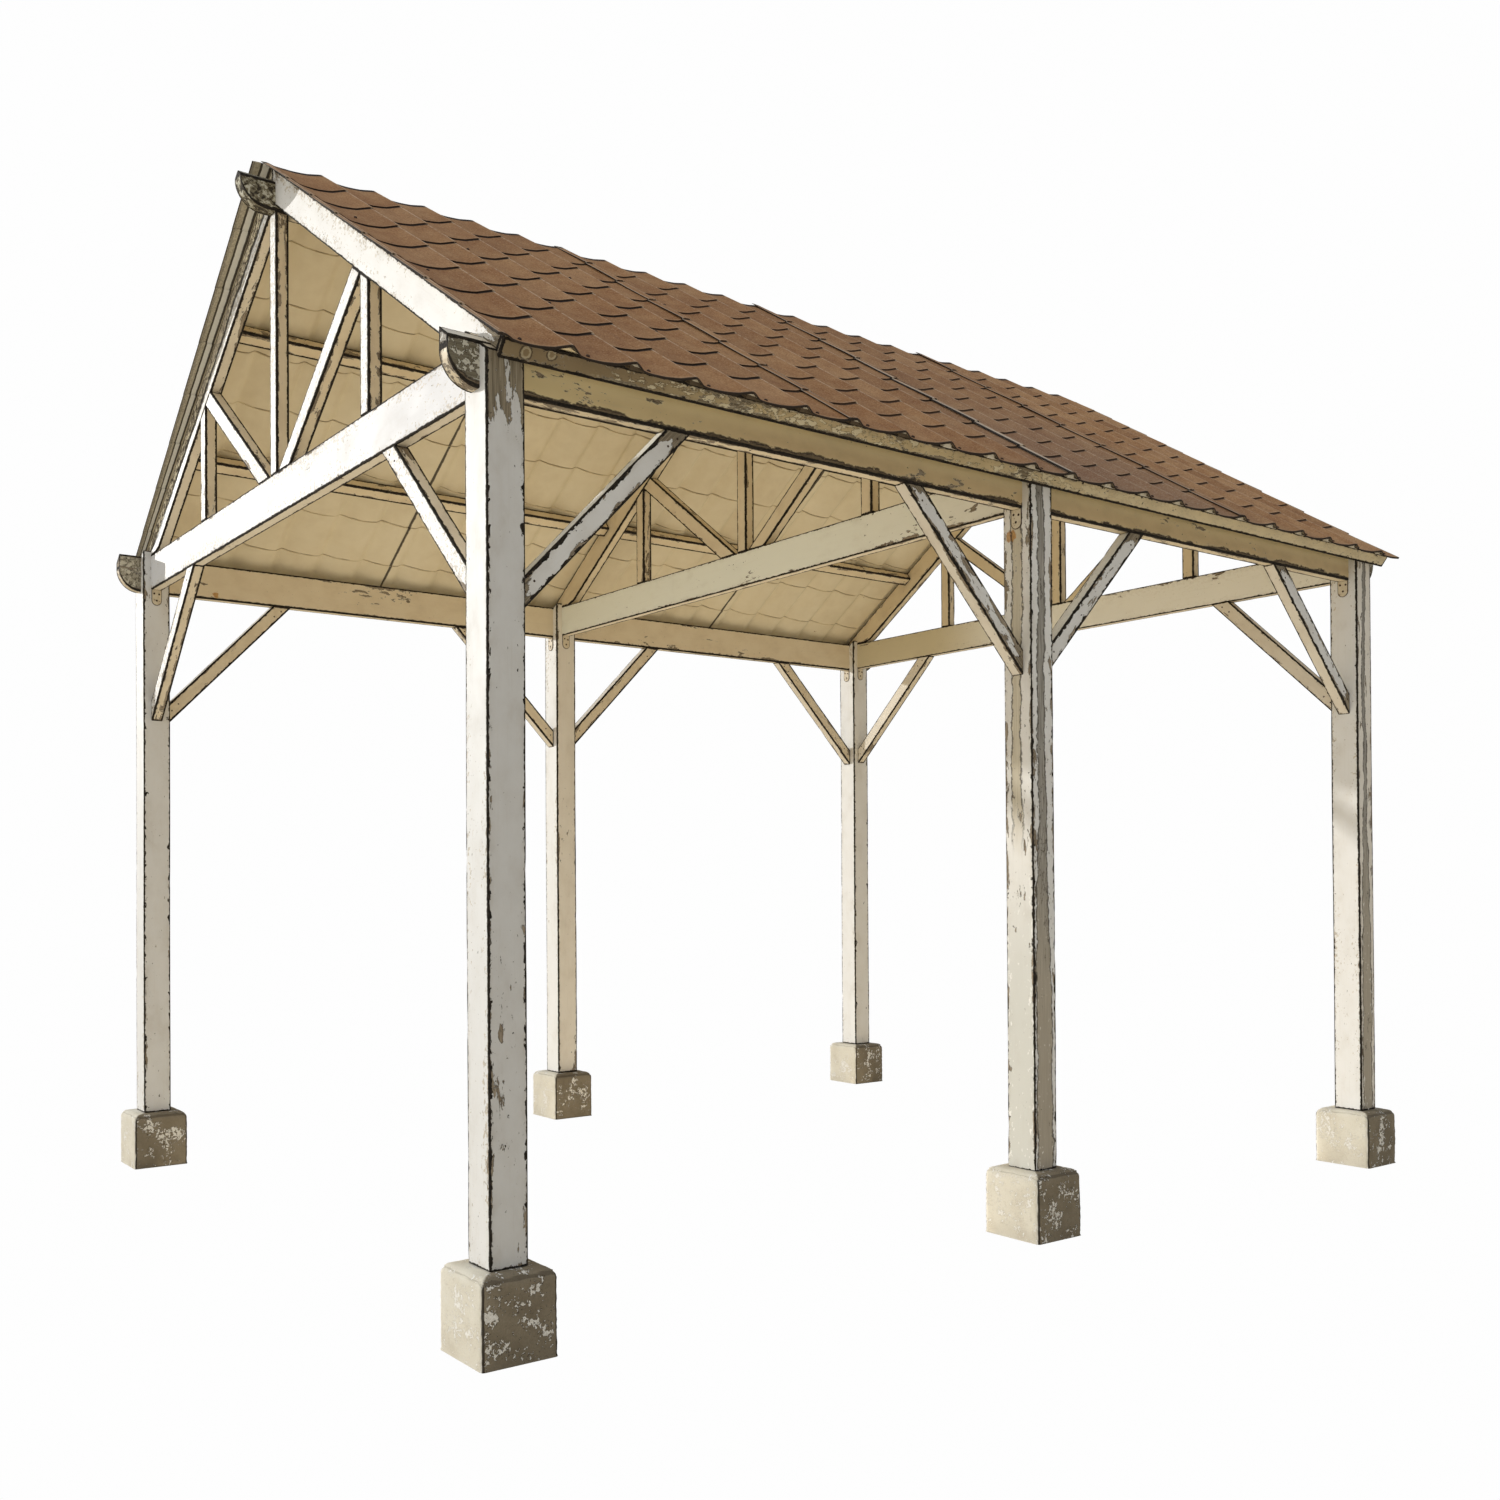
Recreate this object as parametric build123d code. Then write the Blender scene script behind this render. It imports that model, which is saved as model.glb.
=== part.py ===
from build123d import *
import math
import os

# Open timber garden gazebo: six posts on concrete footings, three king-post
# trusses, two side plates and a ridge beam with quarter-round ends, and a
# gabled roof of tile-effect corrugated sheets.
# Frame: X across the gables, Y along the ridge (front gable faces -Y), Z up,
# origin on the ground under the middle of the roof. Millimetres.

# ---- driving dimensions -------------------------------------------------
POST = 120.0            # side of the square posts
SPAN = 3140.0           # post centre to post centre across the gable
BAY = 2226.0            # truss to truss along the ridge
FOOT = 240.0            # side of a footing block
FOOT_H = 240.0          # height of a footing block
FOOT_R = 30.0           # rounding of its top edges

BEAM_T = 50.0           # thickness of ties, plates, rafters and braces
TIE_Z0 = 2618.0         # underside of the tie beams
TIE_Z1 = 2773.0         # top of the tie beams
PLATE_Z0 = 2610.0       # underside of the side plates
RIDGE_T = 60.0          # thickness of the ridge beam
RIDGE_Z0 = 3732.0       # underside of the ridge beam
NOSE = 97.0             # projection of the beam ends past the posts
NOSE_R = 97.0           # radius of their quarter-round undersides

PITCH = 35.0            # roof pitch in degrees
APEX_Z = 3900.0         # where the top planes of the rafters meet
SEAT_DROP = 46.0        # rafter top down to the seats on posts and plates
RAFTER_D = 108.0        # rafter depth, square to the slope
TAIL_D = 48.0           # depth of the trimmed rafter tail
TAIL_X = 1650.0         # end of the tail at its top edge

KING_W = 60.0           # width of the king post
QUEEN_X = 785.0         # queen stud centre from the ridge
QUEEN_W = 60.0
STRUT_FOOT = (45.0, 154.0)     # foot of a strut on the tie beam
STRUT_HEAD = (695.0, 754.0)    # head of a strut under the rafter

BRACE_OUT = 600.0       # legs of a knee brace at its lower edge
BRACE_IN = 510.0        # legs of a knee brace at its upper edge

PURLIN_X = (540.0, 1080.0)     # upper top corner of each purlin from the ridge
PURLIN_D = 50.0
PURLIN_W = 58.0

FASCIA_D = 56.0         # depth of the eave fascia, square to the slope
FASCIA_T = 20.0
FASCIA_REAR = 2378.0    # rear end of the fascia

SHEET_LEN = 2085.0      # ridge to eave edge along the slope
SHEET_FRONT = -2298.0   # front verge
SHEET_REAR = 2374.0     # rear verge
SHEET_T = 34.0          # trough to crest, with the steps of the tile pattern
SHEET_LIFT = 0.0        # trough underside above the rafters
SHEET_JOINTS = (-1035.0, 35.0, 1105.0)  # side joints between sheets
SHEET_GAP = 1.0

BRACKET_W = 46.0        # steel joint brackets on the posts under the beams
BRACKET_H = 72.0
BRACKET_T = 3.0

# ---- derived --------------------------------------------------------------
TAN = math.tan(math.radians(PITCH))
COS = math.cos(math.radians(PITCH))
SIN = math.sin(math.radians(PITCH))
HX = SPAN / 2.0
HP = POST / 2.0
HT = BEAM_T / 2.0
ROWS = (("front", -BAY), ("middle", 0.0), ("rear", BAY))
SIDES = (("left", -1.0), ("right", 1.0))
SEAT_Z = APEX_Z - SEAT_DROP
UNDER_Z = APEX_Z - RAFTER_D / COS
PLATE_IN = HX - HT
PLATE_OUT = HX + HT
END_Y = BAY + HP + NOSE


def prism(points, vector):
    """Solid from a planar polygon swept along a vector."""
    face = Face(Wire.make_polygon([Vector(*p) for p in points], close=True))
    return Solid.extrude(face, Vector(*vector))


def prism_xz(points, y0, y1):
    return prism([(x, y0, z) for x, z in points], (0, y1 - y0, 0))


def prism_yz(points, x0, x1):
    return prism([(x0, y, z) for y, z in points], (x1 - x0, 0, 0))


def box(x0, x1, y0, y1, z0, z1):
    return prism_xz([(x0, z0), (x1, z0), (x1, z1), (x0, z1)], y0, y1)


def solids_of(shape):
    if isinstance(shape, Solid):
        return [shape]
    if hasattr(shape, "solids"):
        return list(shape.solids())
    out = []
    for item in shape:
        out.extend(solids_of(item))
    return out


def minus(shape, tools):
    """Subtract each tool in turn and return one solid."""
    result = shape
    for tool in tools:
        result = result - tool
    parts = sorted(solids_of(result), key=lambda s: -s.volume)
    return parts[0]


def flip(points, side):
    return [(side * x, z) for x, z in points]


def slope_point(along, lift):
    """Point at a distance down the slope from the apex and above its plane."""
    return (along * COS + lift * SIN, APEX_Z - along * SIN + lift * COS)


nodes = {}


def add(name, shapes):
    nodes[name] = solids_of(shapes)


# ---- beams along the ridge --------------------------------------------------
def nosed_beam(section, z0):
    """Beam along Y with quarter-round undersides at both ends.

    section: polygon in XZ, z0: its underside.
    """
    beam = prism_xz(section, -END_Y, END_Y)
    xs = [p[0] for p in section]
    x0, x1 = min(xs) - 5.0, max(xs) + 5.0
    cutters = []
    for s in (-1.0, 1.0):
        block = box(x0, x1, min(s * (END_Y - NOSE_R), s * (END_Y + 5)),
                    max(s * (END_Y - NOSE_R), s * (END_Y + 5)), z0 - 5.0, z0 + NOSE_R)
        drum = Solid.make_cylinder(
            NOSE_R, x1 - x0,
            Plane(origin=(x0, s * (END_Y - NOSE_R), z0 + NOSE_R), z_dir=(1, 0, 0)))
        cutters.append(minus(block, [drum]))
    return minus(beam, cutters)


def seat_line(x):
    return SEAT_Z - TAN * abs(x)


plates = {}
for side_name, side in SIDES:
    section = flip([(PLATE_IN, PLATE_Z0), (PLATE_OUT, PLATE_Z0),
                    (PLATE_OUT, seat_line(PLATE_OUT)),
                    (PLATE_IN, seat_line(PLATE_IN))], side)
    plates[side_name] = nosed_beam(section, PLATE_Z0)
    add("side_plate_" + side_name, plates[side_name])

half = RIDGE_T / 2.0
ridge = nosed_beam([(-half, RIDGE_Z0), (half, RIDGE_Z0), (half, seat_line(half)),
                    (0.0, SEAT_Z), (-half, seat_line(half))], RIDGE_Z0)
add("ridge_beam", ridge)

# ---- trusses ----------------------------------------------------------------
ties, rafters = {}, {}
for row_name, y in ROWS:
    tie = box(-PLATE_IN, PLATE_IN, y - HT, y + HT, TIE_Z0, TIE_Z1)
    ties[row_name] = tie
    add("tie_beam_" + row_name, tie)

    for side_name, side in SIDES:
        tail_top = (TAIL_X, APEX_Z - TAN * TAIL_X)
        tail_low = (tail_top[0] - TAIL_D * SIN, tail_top[1] - TAIL_D * COS)
        tail_v = TAIL_D / COS
        profile = [
            (0.0, APEX_Z), tail_top, tail_low,
            (PLATE_IN, APEX_Z - tail_v - TAN * PLATE_IN),
            (PLATE_IN, TIE_Z1 - 60.0),
            ((UNDER_Z - TIE_Z1 + 60.0) / TAN, TIE_Z1 - 60.0)
            if (UNDER_Z - TIE_Z1 + 60.0) / TAN < PLATE_IN else
            (PLATE_IN, UNDER_Z - TAN * PLATE_IN),
            (0.0, UNDER_Z)]
        rafter = prism_xz(flip(profile, side), y - HT, y + HT)
        rafter = minus(rafter, [tie, plates[side_name], ridge])
        rafters[row_name, side_name] = rafter
        add("rafter_%s_%s" % (row_name, side_name), rafter)

    add("king_post_" + row_name,
        box(-KING_W / 2, KING_W / 2, y - HT, y + HT, TIE_Z1, RIDGE_Z0))

    studs, struts, braces = [], [], []
    for _, side in SIDES:
        q0, q1 = QUEEN_X - QUEEN_W / 2, QUEEN_X + QUEEN_W / 2
        studs.append(prism_xz(flip([
            (q0, TIE_Z1), (q1, TIE_Z1), (q1, UNDER_Z - TAN * q1),
            (q0, UNDER_Z - TAN * q0)], side), y - HT, y + HT))
        struts.append(prism_xz(flip([
            (STRUT_FOOT[0], TIE_Z1), (STRUT_FOOT[1], TIE_Z1),
            (STRUT_HEAD[1], UNDER_Z - TAN * STRUT_HEAD[1]),
            (STRUT_HEAD[0], UNDER_Z - TAN * STRUT_HEAD[0])], side), y - HT, y + HT))
        face = HX - HP
        braces.append(prism_xz(flip([
            (face, TIE_Z0 - BRACE_OUT), (face, TIE_Z0 - BRACE_IN),
            (face - BRACE_IN, TIE_Z0), (face - BRACE_OUT, TIE_Z0)], side),
            y - HT, y + HT))
    add("queen_studs_" + row_name, studs)
    add("truss_struts_" + row_name, struts)
    if row_name != "middle":
        add("knee_braces_" + row_name, braces)

# ---- knee braces under the side plates ---------------------------------------
for side_name, side in SIDES:
    x0, x1 = sorted((side * PLATE_IN, side * PLATE_OUT))
    braces = []
    for y, way in ((-BAY, 1.0), (0.0, -1.0), (0.0, 1.0), (BAY, -1.0)):
        face = y + way * HP
        braces.append(prism_yz([
            (face, PLATE_Z0 - BRACE_OUT), (face, PLATE_Z0 - BRACE_IN),
            (face + way * BRACE_IN, PLATE_Z0), (face + way * BRACE_OUT, PLATE_Z0)],
            x0, x1))
    add("knee_braces_%s_side" % side_name, braces)

# ---- eave fascias -------------------------------------------------------------------
fascias = {}
for side_name, side in SIDES:
    along = TAIL_X / COS
    section = flip([slope_point(along, 0.0), slope_point(along + FASCIA_T, 0.0),
                    slope_point(along + FASCIA_T, -FASCIA_D),
                    slope_point(along, -FASCIA_D)], side)
    fascias[side_name] = prism_xz(section, -BAY - HT, FASCIA_REAR)
    add("fascia_" + side_name, fascias[side_name])

# ---- posts and footings ---------------------------------------------------------
for row_name, y in ROWS:
    for side_name, side in SIDES:
        x_in, x_out = HX - HP, HX + HP
        post = prism_xz(flip([(x_in, FOOT_H), (x_out, FOOT_H),
                              (x_out, seat_line(x_out)), (x_in, seat_line(x_in))],
                             side), y - HP, y + HP)
        post = minus(post, [ties[row_name], plates[side_name],
                            rafters[row_name, side_name], fascias[side_name]])
        add("post_%s_%s" % (row_name, side_name), post)

        block = box(side * HX - FOOT / 2, side * HX + FOOT / 2,
                    y - FOOT / 2, y + FOOT / 2, 0.0, FOOT_H)
        rim = [e for e in block.edges() if e.center().Z > FOOT_H - 1.0]
        corners = [e for e in block.edges()
                   if 1.0 < e.center().Z < FOOT_H - 1.0]
        block = block.fillet(12.0, corners)
        rim = [e for e in block.edges() if e.center().Z > FOOT_H - 1.0]
        block = block.fillet(FOOT_R, rim)
        add("footing_%s_%s" % (row_name, side_name), block)

# ---- purlins, let in between the rafters ------------------------------------------
for side_name, side in SIDES:
    pieces = []
    for px in PURLIN_X:
        along = px / COS
        section = flip([slope_point(along, 0.0), slope_point(along + PURLIN_W, 0.0),
                        slope_point(along + PURLIN_W, -PURLIN_D),
                        slope_point(along, -PURLIN_D)], side)
        for y0, y1 in ((-BAY, 0.0), (0.0, BAY)):
            pieces.append(prism_xz(section, y0 + HT, y1 - HT))
    add("purlins_" + side_name, pieces)

# ---- roof sheets ------------------------------------------------------------------------
edges = (SHEET_FRONT,) + SHEET_JOINTS + (SHEET_REAR,)
for side_name, side in SIDES:
    x_ridge = SHEET_GAP / 2.0
    low, high = SHEET_LIFT / COS, (SHEET_LIFT + SHEET_T) / COS
    section = flip([
        (x_ridge, APEX_Z + low - TAN * x_ridge),
        slope_point(SHEET_LEN, SHEET_LIFT),
        slope_point(SHEET_LEN, SHEET_LIFT + SHEET_T),
        (x_ridge, APEX_Z + high - TAN * x_ridge)], side)
    sheets = []
    for i in range(len(edges) - 1):
        a = edges[i] + (SHEET_GAP / 2 if i else 0.0)
        b = edges[i + 1] - (SHEET_GAP / 2 if i < len(edges) - 2 else 0.0)
        sheets.append(prism_xz(section, a, b))
    add("roof_sheets_" + side_name, sheets)

# ---- joint brackets on the posts ----------------------------------------------------------
def bracket(origin, across, out, top):
    """Plate with a half-round foot: origin on the post face, top at the beam."""
    r = BRACKET_W / 2.0
    pts = [(-r, top), (r, top), (r, top - BRACKET_H + r)]
    for i in range(1, 12):
        a = math.pi * i / 12.0
        pts.append((r * math.cos(a), top - BRACKET_H + r - r * math.sin(a)))
    pts.append((-r, top - BRACKET_H + r))
    world = [(origin[0] + across[0] * u, origin[1] + across[1] * u, z) for u, z in pts]
    return prism(world, (out[0] * BRACKET_T, out[1] * BRACKET_T, 0))


plates_on_posts = []
for row_name, y in ROWS:
    for _, side in SIDES:
        plates_on_posts.append(
            bracket((side * (HX - HP), y), (0, 1), (-side, 0), TIE_Z0))
for _, side in SIDES:
    for y, way in ((-BAY, 1.0), (0.0, -1.0), (0.0, 1.0), (BAY, -1.0)):
        plates_on_posts.append(
            bracket((side * HX, y + way * HP), (1, 0), (0, way), PLATE_Z0))
add("joint_brackets", plates_on_posts)

# ---- write one file per node -------------------------------------------------------------------
os.makedirs("parts", exist_ok=True)
for name, solids in nodes.items():
    shape = solids[0] if len(solids) == 1 else Compound(children=solids)
    export_step(shape, os.path.join("parts", name + ".step"))
print(len(nodes), "nodes", sum(len(s) for s in nodes.values()), "solids")
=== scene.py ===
import math
import random

import bpy
import numpy as np
from mathutils import Matrix, Vector


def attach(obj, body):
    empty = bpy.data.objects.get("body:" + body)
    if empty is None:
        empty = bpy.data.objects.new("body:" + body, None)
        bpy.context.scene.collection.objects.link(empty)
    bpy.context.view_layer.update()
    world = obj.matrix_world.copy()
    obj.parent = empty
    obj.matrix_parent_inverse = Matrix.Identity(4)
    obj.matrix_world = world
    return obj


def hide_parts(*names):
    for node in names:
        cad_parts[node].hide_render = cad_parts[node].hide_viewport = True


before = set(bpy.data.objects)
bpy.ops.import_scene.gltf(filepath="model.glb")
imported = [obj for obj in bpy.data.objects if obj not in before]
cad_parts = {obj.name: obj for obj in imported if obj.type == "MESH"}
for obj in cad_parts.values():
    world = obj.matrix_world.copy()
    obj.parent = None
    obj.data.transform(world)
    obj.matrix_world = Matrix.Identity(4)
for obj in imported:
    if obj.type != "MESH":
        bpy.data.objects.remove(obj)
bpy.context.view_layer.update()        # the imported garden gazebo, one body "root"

# ---------------------------------------------------------------- dimensions
# Metres, the same driving dimensions as the CAD part.
POST = 0.120
HX = 1.570                      # post centres from the middle, across
BAY = 2.226                     # post rows apart, along
FOOT, FOOT_H, FOOT_R, FOOT_C = 0.240, 0.240, 0.030, 0.012
HT = 0.025                      # half thickness of all 50 mm timber
TIE_Z0, TIE_Z1 = 2.618, 2.773
PLATE_Z0 = 2.610
RIDGE_Z0, RIDGE_T = 3.732, 0.060
NOSE = 0.097
PITCH = math.radians(35.0)
TAN, COS, SIN = math.tan(PITCH), math.cos(PITCH), math.sin(PITCH)
APEX = 3.900
SEAT = APEX - 0.046
UNDER = APEX - 0.108 / COS
TAIL_D, TAIL_X = 0.048, 1.650
KING_W, QUEEN_X, QUEEN_W = 0.060, 0.785, 0.060
STRUT_FOOT, STRUT_HEAD = (0.045, 0.154), (0.695, 0.754)
BRACE_OUT, BRACE_IN = 0.600, 0.510
PURLIN_X, PURLIN_D, PURLIN_W = (0.540, 1.080), 0.050, 0.058
FASCIA_D, FASCIA_T, FASCIA_REAR = 0.056, 0.020, 2.378
SHEET_LEN, SHEET_FRONT, SHEET_REAR = 2.085, -2.298, 2.374
SHEET_JOINTS = (-1.035, 0.035, 1.105)
WAVE, CREST0, WAVE_H = 0.214, -2.278, 0.0262
COURSE, COURSE0, STEP_H = 0.2558, 0.2782, 0.0050
BR_W, BR_H, BR_T = 0.046, 0.072, 0.003
HP = POST / 2
PLATE_IN, PLATE_OUT = HX - HT, HX + HT
END_Y = BAY + HP + NOSE
ROWS = (("front", -BAY), ("middle", 0.0), ("rear", BAY))
SIDES = (("left", -1.0), ("right", 1.0))

scene = bpy.context.scene


# ---------------------------------------------------------------- mesh helpers
def new_mesh_object(name, verts, faces, mats, mat_ids=None, smooth_angle=None):
    me = bpy.data.meshes.new(name)
    me.from_pydata([tuple(v) for v in verts], [], faces)
    me.validate(clean_customdata=False)
    ob = bpy.data.objects.new(name, me)
    scene.collection.objects.link(ob)
    for m in mats:
        me.materials.append(m)
    if mat_ids is not None:
        me.polygons.foreach_set("material_index", np.array(mat_ids, np.int32))
    if smooth_angle is not None:
        me.shade_smooth()
        me.set_sharp_from_angle(angle=math.radians(smooth_angle))
    me.update()
    return ob


class Builder:
    """Collects faces with per-corner data, then makes one closed mesh."""

    def __init__(self, name, seed):
        self.name = name
        self.rng = random.Random(seed)
        self.verts, self.faces = [], []
        self.loc = []                      # per vertex: along, across, across
        self.ed, self.en, self.wt, self.bd = [], [], [], []   # per corner

    def add(self, idx, ed, en, wt, bd=(0.0, 0.0, 0.0)):
        self.faces.append(idx)
        self.ed.extend(ed)
        self.en.extend(en)
        self.wt.extend([wt] * len(idx))
        self.bd.extend([bd] * len(idx))

    def make(self, mats, slot, nodes=()):
        me = bpy.data.meshes.new(self.name)
        me.from_pydata([tuple(v) for v in self.verts], [], self.faces)
        ob = bpy.data.objects.new(self.name, me)
        scene.collection.objects.link(ob)
        for m in mats:
            me.materials.append(m)
        a = me.attributes.new("loc", "FLOAT_VECTOR", "POINT")
        a.data.foreach_set("vector", np.array(self.loc, np.float32).ravel())
        for key, vals in (("ed", self.ed), ("en", self.en), ("wt", self.wt), ("bd", self.bd)):
            a = me.attributes.new(key, "FLOAT_VECTOR", "CORNER")
            a.data.foreach_set("vector", np.array(vals, np.float32).ravel())
        me.update()
        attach(ob, "root")
        if nodes:
            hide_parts(*nodes)
        return ob


def loft(b, rails, wears, tint=0.0, chamfer=0.0022, end_chamfer=0.0018, chips=0.35,
         plain_ends=False, bands=None):
    """Timber along stations. rails: array stations x corners x 3, corners in
    order round the section. wears: one number, or one for each long face."""
    rails = np.array(rails, float)
    n, r, _ = rails.shape
    rng = b.rng
    seed = rng.uniform(0.0, 40.0)
    if not hasattr(wears, "__len__"):
        wears = [wears] * r
    tints = list(tint) if hasattr(tint, "__len__") else [tint] * r
    bands = [bd or (0.0, 0.0, 0.0) for bd in (bands or [None] * r)]
    # outward order: flip when the section runs the wrong way round the axis
    axis = rails[-1].mean(0) - rails[0].mean(0)
    length = np.linalg.norm(axis)
    axis = axis / length
    area = np.zeros(3)
    c0 = rails[0].mean(0)
    for k in range(r):
        area += np.cross(rails[0][k] - c0, rails[0][(k + 1) % r] - c0)
    if np.dot(area, axis) < 0:
        rails = rails[:, ::-1]
        wears = [wears[(r - 2 - k) % r] for k in range(r)]
        tints = [tints[(r - 2 - k) % r] for k in range(r)]
        bands = [bands[(r - 2 - k) % r] for k in range(r)]
        bands = [(1.0 - h, 1.0 - l, a) if a < 1.5 else (l, h, a) for l, h, a in bands]
    e1 = rails[0][1] - rails[0][0]
    e1 = e1 - axis * np.dot(e1, axis)
    e1 /= np.linalg.norm(e1)
    e2 = np.cross(axis, e1)
    # end bevel rings
    first, last = rails[0].copy(), rails[-1].copy()
    step = end_chamfer
    d0 = rails[1] - rails[0]
    d0 /= np.linalg.norm(d0, axis=1)[:, None]
    d1 = rails[-2] - rails[-1]
    d1 /= np.linalg.norm(d1, axis=1)[:, None]
    cap0 = first + (first.mean(0) - first) / np.linalg.norm(first.mean(0) - first, axis=1)[:, None] * step
    cap1 = last + (last.mean(0) - last) / np.linalg.norm(last.mean(0) - last, axis=1)[:, None] * step
    rails = np.concatenate([[cap0], [first + d0 * step], rails[1:-1], [last + d1 * step], [cap1]])
    n = len(rails)
    cum = np.zeros((n, r))
    for j in range(1, n):
        cum[j] = cum[j - 1] + np.linalg.norm(rails[j] - rails[j - 1], axis=1)
    base = len(b.verts)
    cutw = np.zeros((n, r))
    for k in range(r):
        w = 0.0
        for j in range(n):
            w = 0.55 * w + 0.45 * rng.uniform(-1, 1)
            cutw[j, k] = chamfer * (1.0 + 0.55 * w)
            if rng.random() < chips * 0.12:
                cutw[j, k] += rng.uniform(0.0008, 0.0036)
    centre0 = rails[0].mean(0)
    for j in range(n):
        for k in range(r):
            p = rails[j, k]
            q0, q1 = rails[j, (k - 1) % r], rails[j, (k + 1) % r]
            c = cutw[j, k]
            for q in (q0, q1):                 # 2 points: toward previous, toward next
                l = np.linalg.norm(q - p)
                v = p + (q - p) / l * min(c, 0.3 * l)
                b.verts.append(v)
                rel = v - centre0
                b.loc.append((np.dot(rel, axis) + seed, np.dot(rel, e1) + seed * 1.7,
                              np.dot(rel, e2) + seed * 0.6))

    def vid(j, k, side):
        return base + (j * r + k % r) * 2 + side

    total = cum[-1].max()
    for k in range(r):
        k1 = (k + 1) % r
        for j in range(n - 1):
            la = np.linalg.norm(rails[j, k1] - rails[j, k])
            lb = np.linalg.norm(rails[j + 1, k1] - rails[j + 1, k])
            # skewed sections: real width across the grain
            ea = (rails[j, k1] - rails[j, k]); ea = ea - axis * np.dot(ea, axis)
            sk = max(0.3, np.linalg.norm(ea) / max(la, 1e-9))
            ca, cb = cutw[j, k] * sk, cutw[j, k1] * sk
            da, db = cutw[j + 1, k] * sk, cutw[j + 1, k1] * sk
            la, lb = la * sk, lb * sk
            s00, s01 = cum[j, k], cum[j, k1]
            s10, s11 = cum[j + 1, k], cum[j + 1, k1]
            t0, t1 = cum[-1, k], cum[-1, k1]
            idx = [vid(j, k, 1), vid(j, k1, 0), vid(j + 1, k1, 0), vid(j + 1, k, 1)]
            ed = [(ca, la - ca, la), (la - cb, cb, la), (lb - db, db, lb), (da, lb - da, lb)]
            en = [(s00, t0 - s00, total), (s01, t1 - s01, total),
                  (s11, t1 - s11, total), (s10, t0 - s10, total)]
            b.add(idx, ed, en, (wears[k], tints[k], seed), bands[k])
        for j in range(n - 1):               # the arris
            idx = [vid(j, k1, 0), vid(j, k1, 1), vid(j + 1, k1, 1), vid(j + 1, k1, 0)]
            ed = [(0.0, 0.0, 0.01)] * 4
            s0, s1, t = cum[j, k1], cum[j + 1, k1], cum[-1, k1]
            en = [(s0, t - s0, total), (s0, t - s0, total), (s1, t - s1, total), (s1, t - s1, total)]
            b.add(idx, ed, en, (max(wears[k], wears[k1]), tints[k], seed))
    for j, rev in ((0, True), (n - 1, False)):   # end grain
        ring = []
        for k in range(r):
            ring += [vid(j, k, 0), vid(j, k, 1)]
        if r == 4:
            L = np.linalg.norm(rails[j, 1] - rails[j, 0])
            V = np.linalg.norm(rails[j, 2] - rails[j, 1])
            at = []
            for k in range(r):
                c = cutw[j, k]
                uv = {0: (0, 0), 1: (L, 0), 2: (L, V), 3: (0, V)}[k]
                pv = {0: (0, c), 1: (L - c, 0), 2: (L, V - c), 3: (c, V)}[k]
                nv = {0: (c, 0), 1: (L, c), 2: (L - c, V), 3: (0, V - c)}[k]
                at += [pv, nv]
            ed = [(u, L - u, L) for u, v in at]
            en = [(v, V - v, V) for u, v in at]
        else:
            ed = [(0.004, 0.004, 0.05)] * len(ring)
            en = [(0.02, 0.02, 0.05)] * len(ring)
        order = list(range(len(ring)))
        if rev:
            order = order[::-1]
        b.add([ring[i] for i in order], [ed[i] for i in order], [en[i] for i in order],
              (0.0 if plain_ends else 0.5, max(tints), seed))


def stations(a, b, pitch=0.045, jitter=0.0, rng=None):
    count = max(3, int(math.ceil(abs(b - a) / pitch)) + 1)
    t = np.linspace(0.0, 1.0, count)
    if rng is not None and jitter:
        t[1:-1] += np.array([rng.uniform(-jitter, jitter) for _ in t[1:-1]]) / count
    return a + (b - a) * t


def straight(b, start, end, wears, tint=0.0, pitch=0.045, wander=0.0, **kw):
    """Bar between two matching end polygons."""
    start, end = np.array(start, float), np.array(end, float)
    length = np.linalg.norm(end.mean(0) - start.mean(0))
    t = stations(0.0, 1.0, pitch / length, 0.35, b.rng)
    rails = start[None] * (1 - t)[:, None, None] + end[None] * t[:, None, None]
    if wander:
        ax = (end.mean(0) - start.mean(0)) / length
        side = np.cross(ax, [0.3, 0.5, 0.81]); side /= np.linalg.norm(side)
        other = np.cross(ax, side)
        p0, p1 = b.rng.uniform(0, 6.28), b.rng.uniform(0, 6.28)
        f = np.sin(np.pi * t)
        off = (np.sin(t * 5.1 + p0) * f * wander)[:, None] * side + (np.sin(t * 6.3 + p1) * f * wander)[:, None] * other
        rails = rails + off[:, None, :]
    loft(b, rails, wears, tint, **kw)


def xz(points, y, side=1.0):
    return [(side * x, y, z) for x, z in points]


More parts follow.
